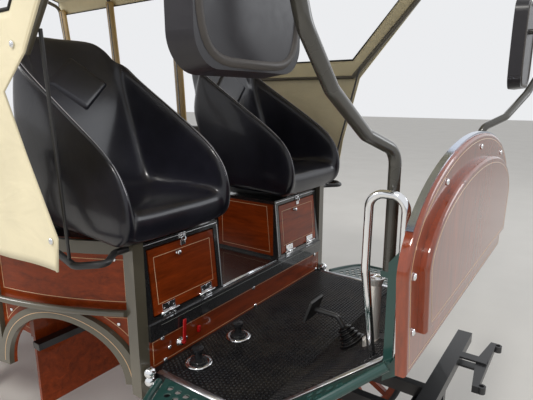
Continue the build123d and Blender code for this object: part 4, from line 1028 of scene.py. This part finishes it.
def locker_plate(bm, side, along, up, out, size):
    """Thin plate on a locker's front: its middle, and its size out, along and up."""
    add_block(bm, locker_point(side, along, up, out), size, LOCKER_TURN, min(0.001, size[0] * 0.375))


def hinge_leaf(bm, side, along, up, out, tall, screws):
    """Hinge leaf on a locker's front, with screw heads at (along, up, out)."""
    locker_plate(bm, side, along, up, out, (0.0016, HINGE_LEAF, tall))
    for a, u, o in screws:
        add_button(bm, locker_point(side, along + a, u, o), LOCKER_OUTWARD, 0.0034, 0.0016)


class WAGONETTE_OT_lockers(bpy.types.Operator):
    """Stringing, hinge leaves, latches and pulls of the two lockers"""

    bl_idname = "wagonette.lockers"
    bl_label = "Lockers"

    def execute(self, context):
        for name, side in SIDES:
            self.door(name, side)
            self.case(name, side)
        return {"FINISHED"}

    def door(self, name, side):
        """Line, hinge leaves and barrels, knob and catch that ride on a locker's door."""
        body = "locker_door_" + name
        lines, bright = bmesh.new(), bmesh.new()
        inset, foot, head = 0.023, 0.036, 0.030
        run = [
            locker_point(side, a * (DOOR_HALF - inset), DOOR_LOW + u)
            for a, u in ((-1, foot), (1, foot), (1, DOOR_H - head), (-1, DOOR_H - head))
        ]
        add_inlay(lines, run, LOCKER_OUTWARD, sizes().line_width)
        screws = [(a, DOOR_LOW + u, 0.0034) for a, u in zip(SCREWS, (0.014, 0.024, 0.014))]
        for along in HINGE_PLACES:
            hinge_leaf(bright, side, along, DOOR_LOW + 0.018, 0.0027, 0.026, screws)
            ends = (along - HINGE_BARREL / 2, along + HINGE_BARREL / 2)
            add_tube(bright, [locker_point(side, a, DOOR_LOW, 0.006) for a in ends], 0.0052, 12)
        knob = locker_point(side, -0.030, DOOR_LOW + DOOR_H - 0.040, 0.0002)
        stem = ((0.0085, 0), (0.0085, 0.002), (0.005, 0.004), (0.005, 0.008))
        add_lathe(bright, stem, knob, LOCKER_OUTWARD, 20)
        add_button(bright, knob + LOCKER_OUTWARD * 0.008, LOCKER_OUTWARD, 0.0095, 0.008)
        locker_plate(bright, side, 0.0, DOOR_LOW + DOOR_H - 0.011, 0.002, (0.004, 0.024, 0.018))
        from_bmesh("door_line_" + name, lines, "line", body)
        from_bmesh("door_fittings_" + name, bright, "chrome", body)

    def case(self, name, side):
        """Edge trim, inner panel and line, hinge leaves and latch of a locker's case."""
        trim, lines, panel, bright = (bmesh.new() for _ in range(4))
        half = LOCKER_OUT - LOCKER_MID
        height = (LOCKER_TOP - DECK_Z) / math.cos(LOCKER_LEAN)
        edge = [locker_point(side, -side * (half - 0.005), u) for u in (0.012, height - 0.016)]
        add_inlay(trim, edge, LOCKER_OUTWARD, 0.003, 0.0008, closed=False)
        top = [locker_point(side, a * (half - 0.007), height - 0.009) for a in (-1, 1)]
        add_inlay(trim, top, LOCKER_OUTWARD, 0.0026, 0.0008, closed=False)
        foot, head = DECK_Z + 0.03, LOCKER_TOP - 0.03
        inner = [
            (HEEL_X + x, side * LOCKER_IN, z)
            for x, z in ((-0.35, foot), (-0.05, foot), (-0.07, head), (-0.35, head))
        ]
        add_inlay(lines, inner, (0, -side, 0), sizes().line_width, 0.0016)
        middle = (HEEL_X - 0.205, side * (LOCKER_IN - 0.0006), (DECK_Z + LOCKER_TOP) / 2 - 0.002)
        add_block(panel, middle, (0.345, 0.0012, LOCKER_TOP - DECK_Z - 0.03), bevel=0.0003)
        screws = [(a, 0.008, 0.0018) for a in SCREWS]
        for along in HINGE_PLACES:
            hinge_leaf(bright, side, along, 0.0085, 0.001, 0.013, screws)
        locker_plate(bright, side, 0.0, height - 0.012, 0.002, (0.004, 0.034, 0.018))
        loop = ((-0.008, -0.012), (-0.011, -0.030), (0.011, -0.030), (0.008, -0.012))
        add_tube(bright, [locker_point(side, a, height + u, 0.008) for a, u in loop], 0.0024, 8)
        add_tube(bright, [locker_point(side, a, height - 0.010, 0.006) for a in (-0.013, 0.013)], 0.0044, 10)
        from_bmesh("locker_edge_" + name, trim, "white_metal")
        from_bmesh("locker_line_" + name, lines, "line")
        from_bmesh("locker_inner_panel_" + name, panel, "mahogany_deep")
        from_bmesh("locker_latch_" + name, bright, "chrome")


# Studs along the heel board's head, along its foot and beside the battery switch: y
HEAD_STUDS, FOOT_STUDS, SWITCH_STUDS = (-0.540, 0.0, 0.552), (-0.532, 0.012, 0.572), (-0.428, -0.510)
# Battery switch, its key and the rocker: y, and z from the floor
SWITCH_PLACE, KEY_PLACE, ROCKER_PLACE = (-0.458, 0.046), (-0.456, 0.050), (-0.359, 0.057)


class WAGONETTE_OT_heel_board(bpy.types.Operator):
    """Stringing, studs, switch and key on the heel board and the deck's edge"""

    bl_idname = "wagonette.heel_board"
    bl_label = "Heel board"

    def execute(self, context):
        front = HEEL_X + 0.0003
        lines, lip, studs, red = (bmesh.new() for _ in range(4))
        foot, head = FLOOR_Z + 0.008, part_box("heel_board")[1][2] - 0.012
        end = FLOOR_HALF - 0.016
        run = [(HEEL_X, y, z) for y, z in ((-end, foot), (end, foot), (end, head), (-end, head))]
        add_inlay(lines, run, X, sizes().line_width)
        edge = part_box("box_deck")[1][0]
        run = [(edge, y * (FLOOR_HALF - 0.05), DECK_Z - 0.014) for y in (-1, 1)]
        add_inlay(lip, run, X, 0.0014, closed=False)
        for z, places in ((head, HEAD_STUDS), (foot, FOOT_STUDS)):
            for y in places:
                add_button(studs, (front, y, z), X, 0.0095, 0.007)
        for y in SWITCH_STUDS:
            add_button(studs, (front, y, FLOOR_Z + 0.048), X, 0.0085, 0.007)
        for step in (0.004, 0.012):
            run = [(HEEL_X - step, y * (LOCKER_IN - 0.004), DECK_Z + 0.003) for y in (-1, 1)]
            add_tube(studs, run, 0.003, 10)
        boss = ((0.018, 0), (0.018, 0.004), (0.012, 0.008), (0.012, 0.014))
        switch, key, rocker = (
            Vector((HEEL_X + ahead, y, FLOOR_Z + z))
            for ahead, (y, z) in ((0, SWITCH_PLACE), (0.014, KEY_PLACE), (0.005, ROCKER_PLACE))
        )
        add_lathe(studs, boss, switch, X, 20)
        add_lathe(red, ((0.007, 0), (0.008, 0.004), (0.007, 0.012), (0.005, 0.014)), key, X, 20)
        turn = Matrix.Rotation(math.radians(-4), 3, "X")
        add_block(red, key + Vector((0.010, 0.003, 0.046)), (0.006, 0.015, 0.090), turn, 0.003)
        add_block(red, rocker, (0.010, 0.015, 0.026), bevel=0.003)
        from_bmesh("heel_line", lines, "line")
        from_bmesh("deck_edge_line", lip, "grey_line")
        from_bmesh("heel_studs", studs, "chrome")
        from_bmesh("heel_switches", red, "red_plastic")
        return {"FINISHED"}


# Distance of the dash's lines and studs from its outline, and where the studs stand round it, in degrees
FRONT_LINE_IN, PANEL_LINE_IN, BACK_LINE_IN, DASH_STUD_IN = 0.018, 0.096, 0.022, 0.039
DASH_STUD_ANGLES = (90, 50, 0, 130, 180)


class WAGONETTE_OT_dash(bpy.types.Operator):
    """Stringing and studs of the dash"""

    bl_idname = "wagonette.dash"
    bl_label = "Dash"

    def outline(self, inset, foot):
        """Dash outline moved inwards, from its near foot over the half ellipse to its far foot."""
        half, rise = DASH_HALF - inset, DASH_TOP - DASH_CENTRE_Z - inset
        foot_half = DASH_FOOT_HALF - inset
        points = [(-foot_half, foot)]
        for i in range(49):
            angle = math.pi * i / 48
            points.append((-half * math.cos(angle), DASH_CENTRE_Z + rise * math.sin(angle)))
        return points + [(foot_half, foot)]

    def execute(self, context):
        lines, studs = bmesh.new(), bmesh.new()
        for x, inset, foot in (
            (DASH_FRONT, FRONT_LINE_IN, FRONT_LINE_IN),
            (DASH_PANEL_FRONT, PANEL_LINE_IN, PANEL_LINE_IN + 0.012),
        ):
            run = [(x, y, z) for y, z in self.outline(inset, DASH_LOW + foot)]
            add_inlay(lines, run, X, sizes().line_width)
        back = [(DASH_X, y, z) for y, z in reversed(self.outline(BACK_LINE_IN, DASH_LOW + BACK_LINE_IN))]
        add_inlay(lines, back, -X, sizes().line_width)
        for angle in DASH_STUD_ANGLES:
            turn = math.radians(angle)
            y = (DASH_HALF - DASH_STUD_IN) * math.cos(turn)
            z = DASH_CENTRE_Z + (DASH_TOP - DASH_CENTRE_Z - DASH_STUD_IN) * math.sin(turn)
            add_button(studs, (DASH_FRONT, y, z), X, 0.009, 0.006)
        for side in (-1, 1):
            foot = (DASH_FRONT, side * (DASH_FOOT_HALF - 0.024), DASH_LOW + 0.107)
            add_button(studs, foot, X, 0.009, 0.006)
        from_bmesh("dash_line", lines, "line")
        from_bmesh("dash_studs", studs, "chrome")
        return {"FINISHED"}


def room_inside(outline, u, v):
    """Distance of a point from the nearest edge of a convex outline, below zero when it lies outside."""
    return min(
        ((b[0] - a[0]) * (v - a[1]) - (b[1] - a[1]) * (u - a[0])) / math.dist(a, b)
        for a, b in zip(outline, outline[1:] + outline[:1])
    )


def perforated(bm, outline, origin, along, across, normal, pitch, hole, thick):
    """Plate with staggered round holes, in a convex counter-clockwise outline of (along, across) points."""
    plate = bmesh.new()
    us, vs = [u for u, _ in outline], [v for _, v in outline]
    apothem = pitch / 2
    corner = pitch / math.sqrt(3)
    rows = int((max(vs) - min(vs)) / (corner * 1.5)) + 3
    columns = int((max(us) - min(us)) / pitch) + 3
    steps = 12
    for i in range(-1, rows):
        for j in range(-1, columns):
            u = min(us) + j * pitch + (apothem if i % 2 else 0)
            v = min(vs) + i * corner * 1.5
            room = room_inside(outline, u, v)
            if room < -corner:
                continue
            rim, bore = [], []
            for k in range(steps):
                angle = math.pi / 6 + 2 * math.pi * k / steps
                reach = corner if k % 2 == 0 else apothem
                rim.append(plate.verts.new((u + reach * math.cos(angle), v + reach * math.sin(angle), 0)))
                bore.append((u + hole * math.cos(angle), v + hole * math.sin(angle), 0))
            if room > hole + 0.006:
                bore = [plate.verts.new(point) for point in bore]
                for k in range(steps):
                    plate.faces.new((rim[k], rim[(k + 1) % steps], bore[(k + 1) % steps], bore[k]))
            else:
                plate.faces.new(rim)
    bmesh.ops.remove_doubles(plate, verts=plate.verts, dist=1e-5)
    for a, b in zip(outline, outline[1:] + outline[:1]):
        edge_normal = (b[1] - a[1], a[0] - b[0], 0)
        geometry = plate.verts[:] + plate.edges[:] + plate.faces[:]
        bmesh.ops.bisect_plane(plate, geom=geometry, plane_co=(*a, 0), plane_no=edge_normal, clear_outer=True)
    top = {vert: bm.verts.new(origin + along * vert.co.x + across * vert.co.y) for vert in plate.verts}
    low = {vert: bm.verts.new(top[vert].co - normal * thick) for vert in plate.verts}
    for face in plate.faces:
        bm.faces.new([top[vert] for vert in face.verts])
        bm.faces.new([low[vert] for vert in reversed(face.verts)])
    for edge in plate.edges:
        if len(edge.link_faces) == 1:
            a, b = edge.verts
            bm.faces.new((top[a], top[b], low[b], low[a]))
    plate.free()


# Outlines of the tread plates' level and sloping parts: along, across from the middle
LEVEL_TREAD = ((0.078, 0.600), (0.43, 0.600), (0.43, 0.790), (0.168, 0.790))
SLOPED_TREAD = ((0.0, 0.605), (0.500, 0.523), (0.500, 0.545), (0.0, 0.790))
TREAD_HOLE, TREAD_THICK = 0.0115, 0.005
# Round rim of the tread plates, from the heel board, the middle and the floor
TREAD_RIM = (
    (0.066, 0.621, -0.006), (0.112, 0.715, -0.006), (0.175, 0.795, -0.006), (0.26, 0.801, -0.006),
    (0.39, 0.801, -0.006), (0.455, 0.785, 0.010),
)


class WAGONETTE_OT_tread_plates(bpy.types.Operator):
    """Perforated tread plates beside the floor, with their round rim"""

    bl_idname = "wagonette.tread_plates"
    bl_label = "Tread plates"

    def execute(self, context):
        settings = sizes().hole_pitch, TREAD_HOLE, TREAD_THICK
        for name, side in SIDES:
            bm = bmesh.new()
            across = Vector((0, side, 0))
            perforated(bm, LEVEL_TREAD, Vector((HEEL_X, 0, FLOOR_Z)), X, across, Z, *settings)
            perforated(bm, SLOPED_TREAD, TOE_FOOT, TOE_ALONG, across, TOE_UP, *settings)
            rim = [(HEEL_X + x, side * y, FLOOR_Z + z) for x, y, z in TREAD_RIM]
            rim.append(TOE_FOOT + Vector((0, side * 0.558, -0.006)) + TOE_ALONG * 0.500)
            add_tube(bm, smooth_path(rim, 10), 0.0125, 14)
            plate = from_bmesh("tread_plate_" + name, bm, "green_paint", smooth=False)
            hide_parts("step_plates")
        return {"FINISHED"}


# One fold of the pedal's gaiter: inwards from its widest, and up
GAITER_FOLD = (
    (0.003, -0.0008), (0.0, 0.0012), (0.0, 0.0042), (0.003, 0.0064), (0.0085, 0.0078), (0.0095, 0.0096),
)


class WAGONETTE_OT_brightwork(bpy.types.Operator):
    """Small metal fittings of the driver's box"""

    bl_idname = "wagonette.brightwork"
    bl_label = "Brightwork"

    def execute(self, context):
        bright, strips = bmesh.new(), bmesh.new()
        low, high = corners("floor_knobs")
        plate = ((0.050, 0.0), (0.050, 0.003), (0.046, 0.0065), (0.034, 0.0075), (0.032, 0.004))
        for y in KNOB_YS:
            add_lathe(bright, plate, ((low.x + high.x) / 2, y, FLOOR_Z + 0.001), Z, 40)
        for side in (-1, 1):
            y = side * (FLOOR_HALF - 0.0145)
            rear, front = (Vector((x, y, FLOOR_Z)) for x in (HEEL_X + 0.030, TOE_START - 0.004))
            self.strip(strips, rear, front, Z, 0.026)
            foot, head = (TOE_FOOT + TOE_ALONG * reach for reach in (0.006, 0.46))
            over = (head.x - TOE_START) / (DASH_FOOT_X - TOE_START)
            foot.y = side * (FLOOR_HALF - 0.017)
            head.y = side * (FLOOR_HALF - 0.017 - over * (FLOOR_HALF - POST_HALF))
            self.strip(strips, foot, head, TOE_UP, 0.030)
        low, high = corners("whip_holder")
        centre = Vector(((low.x + high.x) / 2, (low.y + high.y) / 2, high.z))
        ring = [(0.0255 + 0.0025 * math.cos(a), -0.002 + 0.0025 * math.sin(a)) for a in range(7)]
        add_lathe(bright, ring, centre, Z, 36)
        from_bmesh("floor_edge_strips", strips, "white_metal")
        from_bmesh("box_brightwork", bright, "chrome")
        self.gaiter()
        return {"FINISHED"}

    def gaiter(self):
        """Rubber concertina gaiter round the foot of the brake pedal."""
        bm = bmesh.new()
        profile = [(0.047, 0.0005), (0.048, 0.004), (0.047, 0.0075), (0.041, 0.0095)]
        for fold in range(4):
            radius, level = 0.0405 - 0.005 * fold, 0.010 + 0.013 * fold
            profile += [(radius - inward, level + rise) for inward, rise in GAITER_FOLD]
        profile += [(0.0145, 0.0595), (0.0125, 0.0605)]
        add_lathe(bm, profile, PEDAL_FOOT, TOE_UP, 48)
        gaiter = from_bmesh("pedal_gaiter", bm, "gaiter_rubber")
        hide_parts("pedal_bellows")

    def strip(self, bm, start, end, up, width):
        """Edge strip with a raised bead along its middle."""
        across = up.cross((end - start).normalized())
        section = [(-0.5, 0.0), (-0.5, 0.0015), (-0.16, 0.002), (-0.08, 0.004)]
        section += [(-a, h) for a, h in reversed(section)]
        rings = [[point + across * a * width + up * h for a, h in section] for point in (start, end)]
        ring_strip(bm, rings, cap=True)


# How much further forward the left mirror stands
MIRROR_SWING = 0.185


def mirror_ring(centre, ahead, half_wide, half_tall):
    """Points of a rounded rectangle round a mirror's middle, ahead of its glass."""
    points = []
    for k in range(40):
        c, s = math.cos(math.pi * k / 20), math.sin(math.pi * k / 20)
        y, z = math.copysign(abs(c) ** 0.42, c), math.copysign(abs(s) ** 0.42, s)
        points.append(centre + Vector((ahead, y * half_wide, z * half_tall)))
    return points


class WAGONETTE_OT_mirrors(bpy.types.Operator):
    """Mirror glass, rubber rims and bands"""

    bl_idname = "wagonette.mirrors"
    bl_label = "Mirrors"

    def execute(self, context):
        low, high = corners("mirrors")
        thick = high.x - low.x - MIRROR_SWING
        for name, side in SIDES:
            swing = MIRROR_SWING if side > 0 else 0.0
            centre = Vector((low.x + swing, side * (high.y - 0.15), (low.z + high.z) / 2))
            rim, band, glass = bmesh.new(), bmesh.new(), bmesh.new()
            add_tube(rim, mirror_ring(centre, 0.004, 0.143, 0.183), 0.006, 10, closed=True)
            add_tube(band, mirror_ring(centre, thick * 0.93, 0.132, 0.172), 0.0085, 12, closed=True)
            face = [glass.verts.new(point) for point in mirror_ring(centre, -0.001, 0.136, 0.176)]
            back = [glass.verts.new(point) for point in mirror_ring(centre, 0.003, 0.138, 0.178)]
            glass.faces.new(face)
            glass.faces.new(back[::-1])
            for k in range(len(face)):
                glass.faces.new((face[k - 1], back[k - 1], back[k], face[k]))
            from_bmesh("mirror_rim_" + name, rim, "mirror_rim")
            from_bmesh("mirror_band_" + name, band, "mirror_band")
            from_bmesh("mirror_glass_" + name, glass, "mirror_glass", smooth=False)
        return {"FINISHED"}


# Body stringing

# Wheel arches, as their centre from the heel board and radius, and the drop of the centres under the floor
FRONT_ARCH, REAR_ARCH, ARCH_DROP = (-0.310, 0.277), (-2.030, 0.545), 0.06
# Distance of the panels' and the bands' lines from an arch, and heights of the panels' lines over the floor
PANEL_GAP, BAND_GAP = 0.022, 0.023
UPPER, LOWER = (0.250, 0.402), (0.006, 0.190)
SIDE_STUDS = ((-0.10, 0.402), (-0.52, 0.402), (-0.66, 0.402), (-1.13, 0.402), (-0.10, 0.165), (-0.52, 0.165))


def arch_line(centre, radius, low, high, side, count=18):
    """Points (x, z) along a wheel arch between two heights, on its front (1) or its rear (-1) side."""
    start, end = (math.asin(max(-1, min(1, (z + ARCH_DROP) / radius))) for z in (low, high))
    points = []
    for i in range(count + 1):
        angle = start + (end - start) * i / count
        points.append((centre + side * radius * math.cos(angle), radius * math.sin(angle) - ARCH_DROP))
    return points


def arch_over(centre, radius, count):
    """Points (x, z) from a wheel arch's front foot over its top to its rear foot."""
    ends = (-0.045, radius - ARCH_DROP - 0.00001)
    front, rear = (arch_line(centre, radius, *ends, side, count) for side in (1, -1))
    return front + rear[::-1]


class WAGONETTE_OT_body_lines(bpy.types.Operator):
    """Stringing and studs on the body's bands and panels"""

    bl_idname = "wagonette.body_lines"
    bl_label = "Body lines"

    def execute(self, context):
        front, rear = ((centre, radius + PANEL_GAP) for centre, radius in (FRONT_ARCH, REAR_ARCH))
        panel_loops = [
            [(start, low), (start, high), (end, high), (end, low)]
            for start, end, (low, high) in (
                (-0.072, -0.546, UPPER), (-0.634, -1.156, UPPER), (-0.634, -1.156, LOWER),
            )
        ]
        for start, (low, high), way in ((-1.244, UPPER, 1), (-1.244, LOWER, 1), (-2.611, UPPER, -1)):
            panel_loops.append([(start, high), (start, low)] + arch_line(*rear, low, high, way))
        for end, way in ((-0.072, 1), (-0.548, -1)):
            foot = math.sqrt(front[1] ** 2 - (end - front[0]) ** 2) - ARCH_DROP
            panel_loops.append([(end, LOWER[1])] + arch_line(*front, foot, LOWER[1], way))
        band_lines = [
            arch_over(centre, radius - BAND_GAP, count)
            for (centre, radius), count in ((FRONT_ARCH, 24), (REAR_ARCH, 30))
        ]
        for name, side in SIDES:
            lines, studs = bmesh.new(), bmesh.new()
            panel = surface_of(frame["nodes"]["side_panel_" + name])
            band = surface_of(frame["nodes"]["side_frame_" + name])
            for loop in panel_loops:
                self.lay(lines, loop, side, panel, True)
            for run in band_lines:
                self.lay(lines, run, side, band, False)
            for x, z in SIDE_STUDS:
                add_button(studs, self.place(x, z, side, panel), side_normal(HEEL_X + x, side), 0.007, 0.0045)
            from_bmesh("body_line_" + name, lines, "line")
            from_bmesh("body_studs_" + name, studs, "chrome")
        self.rear()
        self.footwell()
        return {"FINISHED"}

    def rear(self):
        """Lines and studs of the rear end and of its door."""
        low, _ = corners("rear_door")
        half, edge, head = -low.y, SIDE_BACK_Y - 0.045, BELT_Z - 0.045
        for node, name, body, y0, y1, foot in (
            ("rear_end", "rear_end_right", "carriage", -half - 0.050, -edge, SIDE_LOW + 0.040),
            ("rear_end", "rear_end_left", "carriage", half + 0.050, edge, SIDE_LOW + 0.040),
            ("rear_door", "rear_door", "rear_door", 0.032 - half, half - 0.055, low.z + 0.045),
        ):
            places = ((y0, foot), (y0, head), (y1, head), (y1, foot))
            spots = [Vector((BODY_REAR - 0.05, y, z)) for y, z in places]
            marks = [point for point, _ in on_surface(surface_of(frame["nodes"][node]), spots, X)]
            lines, studs = bmesh.new(), bmesh.new()
            add_inlay(lines, marks, -X, sizes().line_width, 0.0006)
            for mark in marks:
                add_button(studs, mark, -X, 0.008, 0.005)
            from_bmesh(name + "_line", lines, "line", body)
            from_bmesh(name + "_studs", studs, "chrome", body)

    def footwell(self):
        """Line along the footwell's sides."""
        low, high = corners("footwell")
        tree = surface_of(frame["nodes"]["footwell"])
        front, foot = high.x - 0.035, low.z + 0.035
        lines = bmesh.new()
        for side in (-1, 1):
            rim = ((front, SIDE_LOW - 0.02), (front, foot), (low.x + 0.06, foot))
            spots = [Vector((x, side * (high.y + 0.05), z)) for x, z in rim]
            run = [point for point, _ in on_surface(tree, spots, Vector((0, -side, 0)))]
            add_inlay(lines, run, (0, side, 0), sizes().line_width, 0.0006, closed=False)
        from_bmesh("footwell_line", lines, "line")

    def place(self, x, z, side, surface):
        """Point on the surface of a side, found from outside."""
        spot = HEEL_X + x
        start = Vector((spot, side * (side_y(spot) + 0.02), FLOOR_Z + z))
        hit, _, _, _ = surface.ray_cast(start, Vector((0, -side, 0)), 0.08)
        return hit if hit is not None else start - Vector((0, side * 0.0385, 0))

    def lay(self, bm, loop, side, surface, closed):
        """Inlay along a loop of (x, z), cut into short runs so that it follows the flare."""
        fine = []
        pairs = zip(loop, loop[1:] + loop[:1]) if closed else zip(loop, loop[1:])
        for (x0, z0), (x1, z1) in pairs:
            count = max(1, int(abs(x1 - x0) / 0.05))
            fine += [(x0 + (x1 - x0) * i / count, z0 + (z1 - z0) * i / count) for i in range(count)]
        if not closed:
            fine.append(loop[-1])
        points = [self.place(x, z, side, surface) for x, z in fine]
        normals = [side_normal(HEEL_X + x, side) for x, _ in fine]
        add_inlay(bm, points, normals, sizes().line_width, 0.0008, closed)


# Turned profiles of a hub's ring and of a bolt's head: radius, height
HUB_RING = (
    (0.0425, 0.060), (0.0435, 0.0625), (0.0435, 0.072), (0.0415, 0.0745), (0.020, 0.0747), (0.0175, 0.0745),
)
BOLT_HEAD = ((0.006, 0), (0.006, 0.004), (0.004, 0.0055), (0.001, 0.006))


class WAGONETTE_OT_running_gear(bpy.types.Operator):
    """Hub rings, bolts and spring clips"""

    bl_idname = "wagonette.running_gear"
    bl_label = "Running gear"

    def execute(self, context):
        for place in ("front_right", "front_left", "rear_right", "rear_left"):
            body = "wheel_" + place
            low, high = corners(body)
            centre = (low + high) / 2
            hub, bolts = bmesh.new(), bmesh.new()
            for way in (-1, 1):
                out = Vector((0, way, 0))
                add_lathe(hub, HUB_RING, centre, out, 40)
                for k in range(12):
                    angle = math.pi * (2 * k + 1) / 12
                    spot = centre + Vector((math.cos(angle), 0, math.sin(angle))) * 0.063 + out * 0.0242
                    add_lathe(bolts, BOLT_HEAD, spot, out, 6)
            # The hub rings' blue tint, from polished_trim, is a painted sky reflection
            from_bmesh("hub_ring_" + place, hub, "polished_trim", body)
            from_bmesh("hub_bolts_" + place, bolts, "black_steel", body, smooth=False)
        low, high = corners("front_springs")
        for name, body, x, y, step, tall, heights in (
            ("rear_spring_clips", "carriage", REAR_AXLE_X, 0.42, 0.05, 0.040, (0.462, 0.770)),
            ("front_spring_clips", "forecarriage", (low.x + high.x) / 2, 0.36, 0.055, 0.036, (low.z, high.z)),
        ):
            clips = bmesh.new()
            for z in (heights[0] + 0.014, heights[1] - 0.014):
                for side in (-1, 1):
                    for place in (x - step, x + step):
                        add_block(clips, (place, side * y, z), (0.010, 0.052, tall), bevel=0.002)
            from_bmesh(name, clips, "black_steel", body)
        return {"FINISHED"}


# Stage

# Camera: place from the heel board and the driver's floor, turn from +Y towards -X, tilt down
CAMERA_PLACE = (1.1664, -1.5446, 0.9362)
CAMERA_TURN = math.radians(35.28)
CAMERA_TILT = math.radians(12.62)
# Lamps: name, place, aim, size, power, colour
LAMPS = (
    ("key", (2.2, -5.4, 7.6), (0.5, -0.4, 1.2), 1.1, 290, (1.0, 0.97, 0.92)),
    ("fill", (7.0, 6.5, 5.0), (0.5, 0.0, 1.0), 4.0, 140, (0.93, 0.96, 1.0)),
    ("rear", (-4.8, -5.2, 6.0), (-0.2, -0.4, 1.2), 2.0, 170, (1.0, 0.98, 0.95)),
)


class WAGONETTE_OT_stage(bpy.types.Operator):
    """Pale floor, soft studio light and the camera"""

    bl_idname = "wagonette.stage"
    bl_label = "Stage"

    def execute(self, context):
        scene = context.scene
        scene.view_settings.view_transform = "Standard"
        self.floor()
        self.world(scene)
        for settings in LAMPS:
            self.lamp(*settings)
        camera = bpy.data.objects.new("camera", bpy.data.cameras.new("camera"))
        scene.collection.objects.link(camera)
        camera.data.lens = sizes().camera_lens
        camera.data.sensor_width = 36.0
        camera.location = (HEEL_X + CAMERA_PLACE[0], CAMERA_PLACE[1], FLOOR_Z + CAMERA_PLACE[2])
        camera.rotation_euler = (math.pi / 2 - CAMERA_TILT, 0, CAMERA_TURN)
        camera.data.clip_start = 0.02
        scene.camera = camera
        return {"FINISHED"}

    def floor(self):
        bm = bmesh.new()
        bmesh.ops.create_grid(bm, x_segments=2, y_segments=2, size=40.0)
        mesh = bpy.data.meshes.new("studio_floor")
        bm.to_mesh(mesh)
        bm.free()
        floor = bpy.data.objects.new("studio_floor", mesh)
        bpy.context.scene.collection.objects.link(floor)
        material = bpy.data.materials.new("studio_floor")
        material.use_nodes = True
        tree = material.node_tree
        shader = shader_of(tree, (0.72, 0.70, 0.66), 0.8)
        stops = ((0.3, (0.70, 0.68, 0.64)), (0.7, (0.74, 0.72, 0.68)))
        cloud = noise_node(tree, place_nodes(tree), 1.5)
        tree.links.new(ramp_node(tree, cloud, stops), shader.inputs["Base Color"])
        mesh.materials.append(material)

    def world(self, scene):
        world = bpy.data.worlds.new("studio")
        scene.world = world
        world.use_nodes = True
        tree = world.node_tree
        background = tree.nodes["Background"]
        background.inputs["Color"].default_value = (0.93, 0.94, 0.96, 1)
        path = tree.nodes.new("ShaderNodeLightPath")
        seen = path.outputs["Is Camera Ray"]
        for ray in ("Is Glossy Ray", "Is Transmission Ray"):
            add = tree.nodes.new("ShaderNodeMath")
            add.operation = "ADD"
            add.use_clamp = True
            tree.links.new(seen, add.inputs[0])
            tree.links.new(path.outputs[ray], add.inputs[1])
            seen = add.outputs[0]
        tree.links.new(spread_node(tree, seen, 0.60, 0.90), background.inputs["Strength"])

    def lamp(self, name, place, aim, size, power, colour):
        data = bpy.data.lights.new(name, "AREA")
        data.shape = "SQUARE"
        data.size = size
        data.energy = power
        data.color = colour
        lamp = bpy.data.objects.new(name, data)
        bpy.context.scene.collection.objects.link(lamp)
        lamp.location = place
        lamp.rotation_euler = (Vector(aim) - Vector(place)).to_track_quat("-Z", "Y").to_euler()


class WAGONETTE_PT_panel(bpy.types.Panel):
    """Sidebar panel with the wagonette's steps, colours and sizes"""

    bl_label = "Wagonette"
    bl_space_type = "VIEW_3D"
    bl_region_type = "UI"
    bl_category = "Wagonette"

    def draw(self, context):
        layout = self.layout
        for operator in OPERATORS:
            layout.operator(operator.bl_idname)
        for group in (context.scene.wagonette_colours, context.scene.wagonette_sizes):
            box = layout.box()
            for prop in group.bl_rna.properties:
                if prop.identifier not in {"rna_type", "name"}:
                    box.prop(group, prop.identifier)


OPERATORS = (
    WAGONETTE_OT_frame_finishes, WAGONETTE_OT_bucket_seats, WAGONETTE_OT_bench_pads, WAGONETTE_OT_hood_cloth,
    WAGONETTE_OT_floor_mat, WAGONETTE_OT_lockers, WAGONETTE_OT_heel_board, WAGONETTE_OT_dash,
    WAGONETTE_OT_tread_plates, WAGONETTE_OT_brightwork, WAGONETTE_OT_mirrors, WAGONETTE_OT_body_lines,
    WAGONETTE_OT_running_gear, WAGONETTE_OT_stage,
)
CLASSES = (WagonetteColours, WagonetteSizes, *OPERATORS, WAGONETTE_PT_panel)


def register():
    for kind in CLASSES:
        bpy.utils.register_class(kind)
    bpy.types.Scene.wagonette_colours = PointerProperty(type=WagonetteColours)
    bpy.types.Scene.wagonette_sizes = PointerProperty(type=WagonetteSizes)


def unregister():
    del bpy.types.Scene.wagonette_sizes
    del bpy.types.Scene.wagonette_colours
    for kind in reversed(CLASSES):
        bpy.utils.unregister_class(kind)


def main():
    register()
    random.seed(7)
    for operator in OPERATORS:
        group, name = operator.bl_idname.split(".")
        getattr(getattr(bpy.ops, group), name)()


if __name__ == "__main__":
    main()
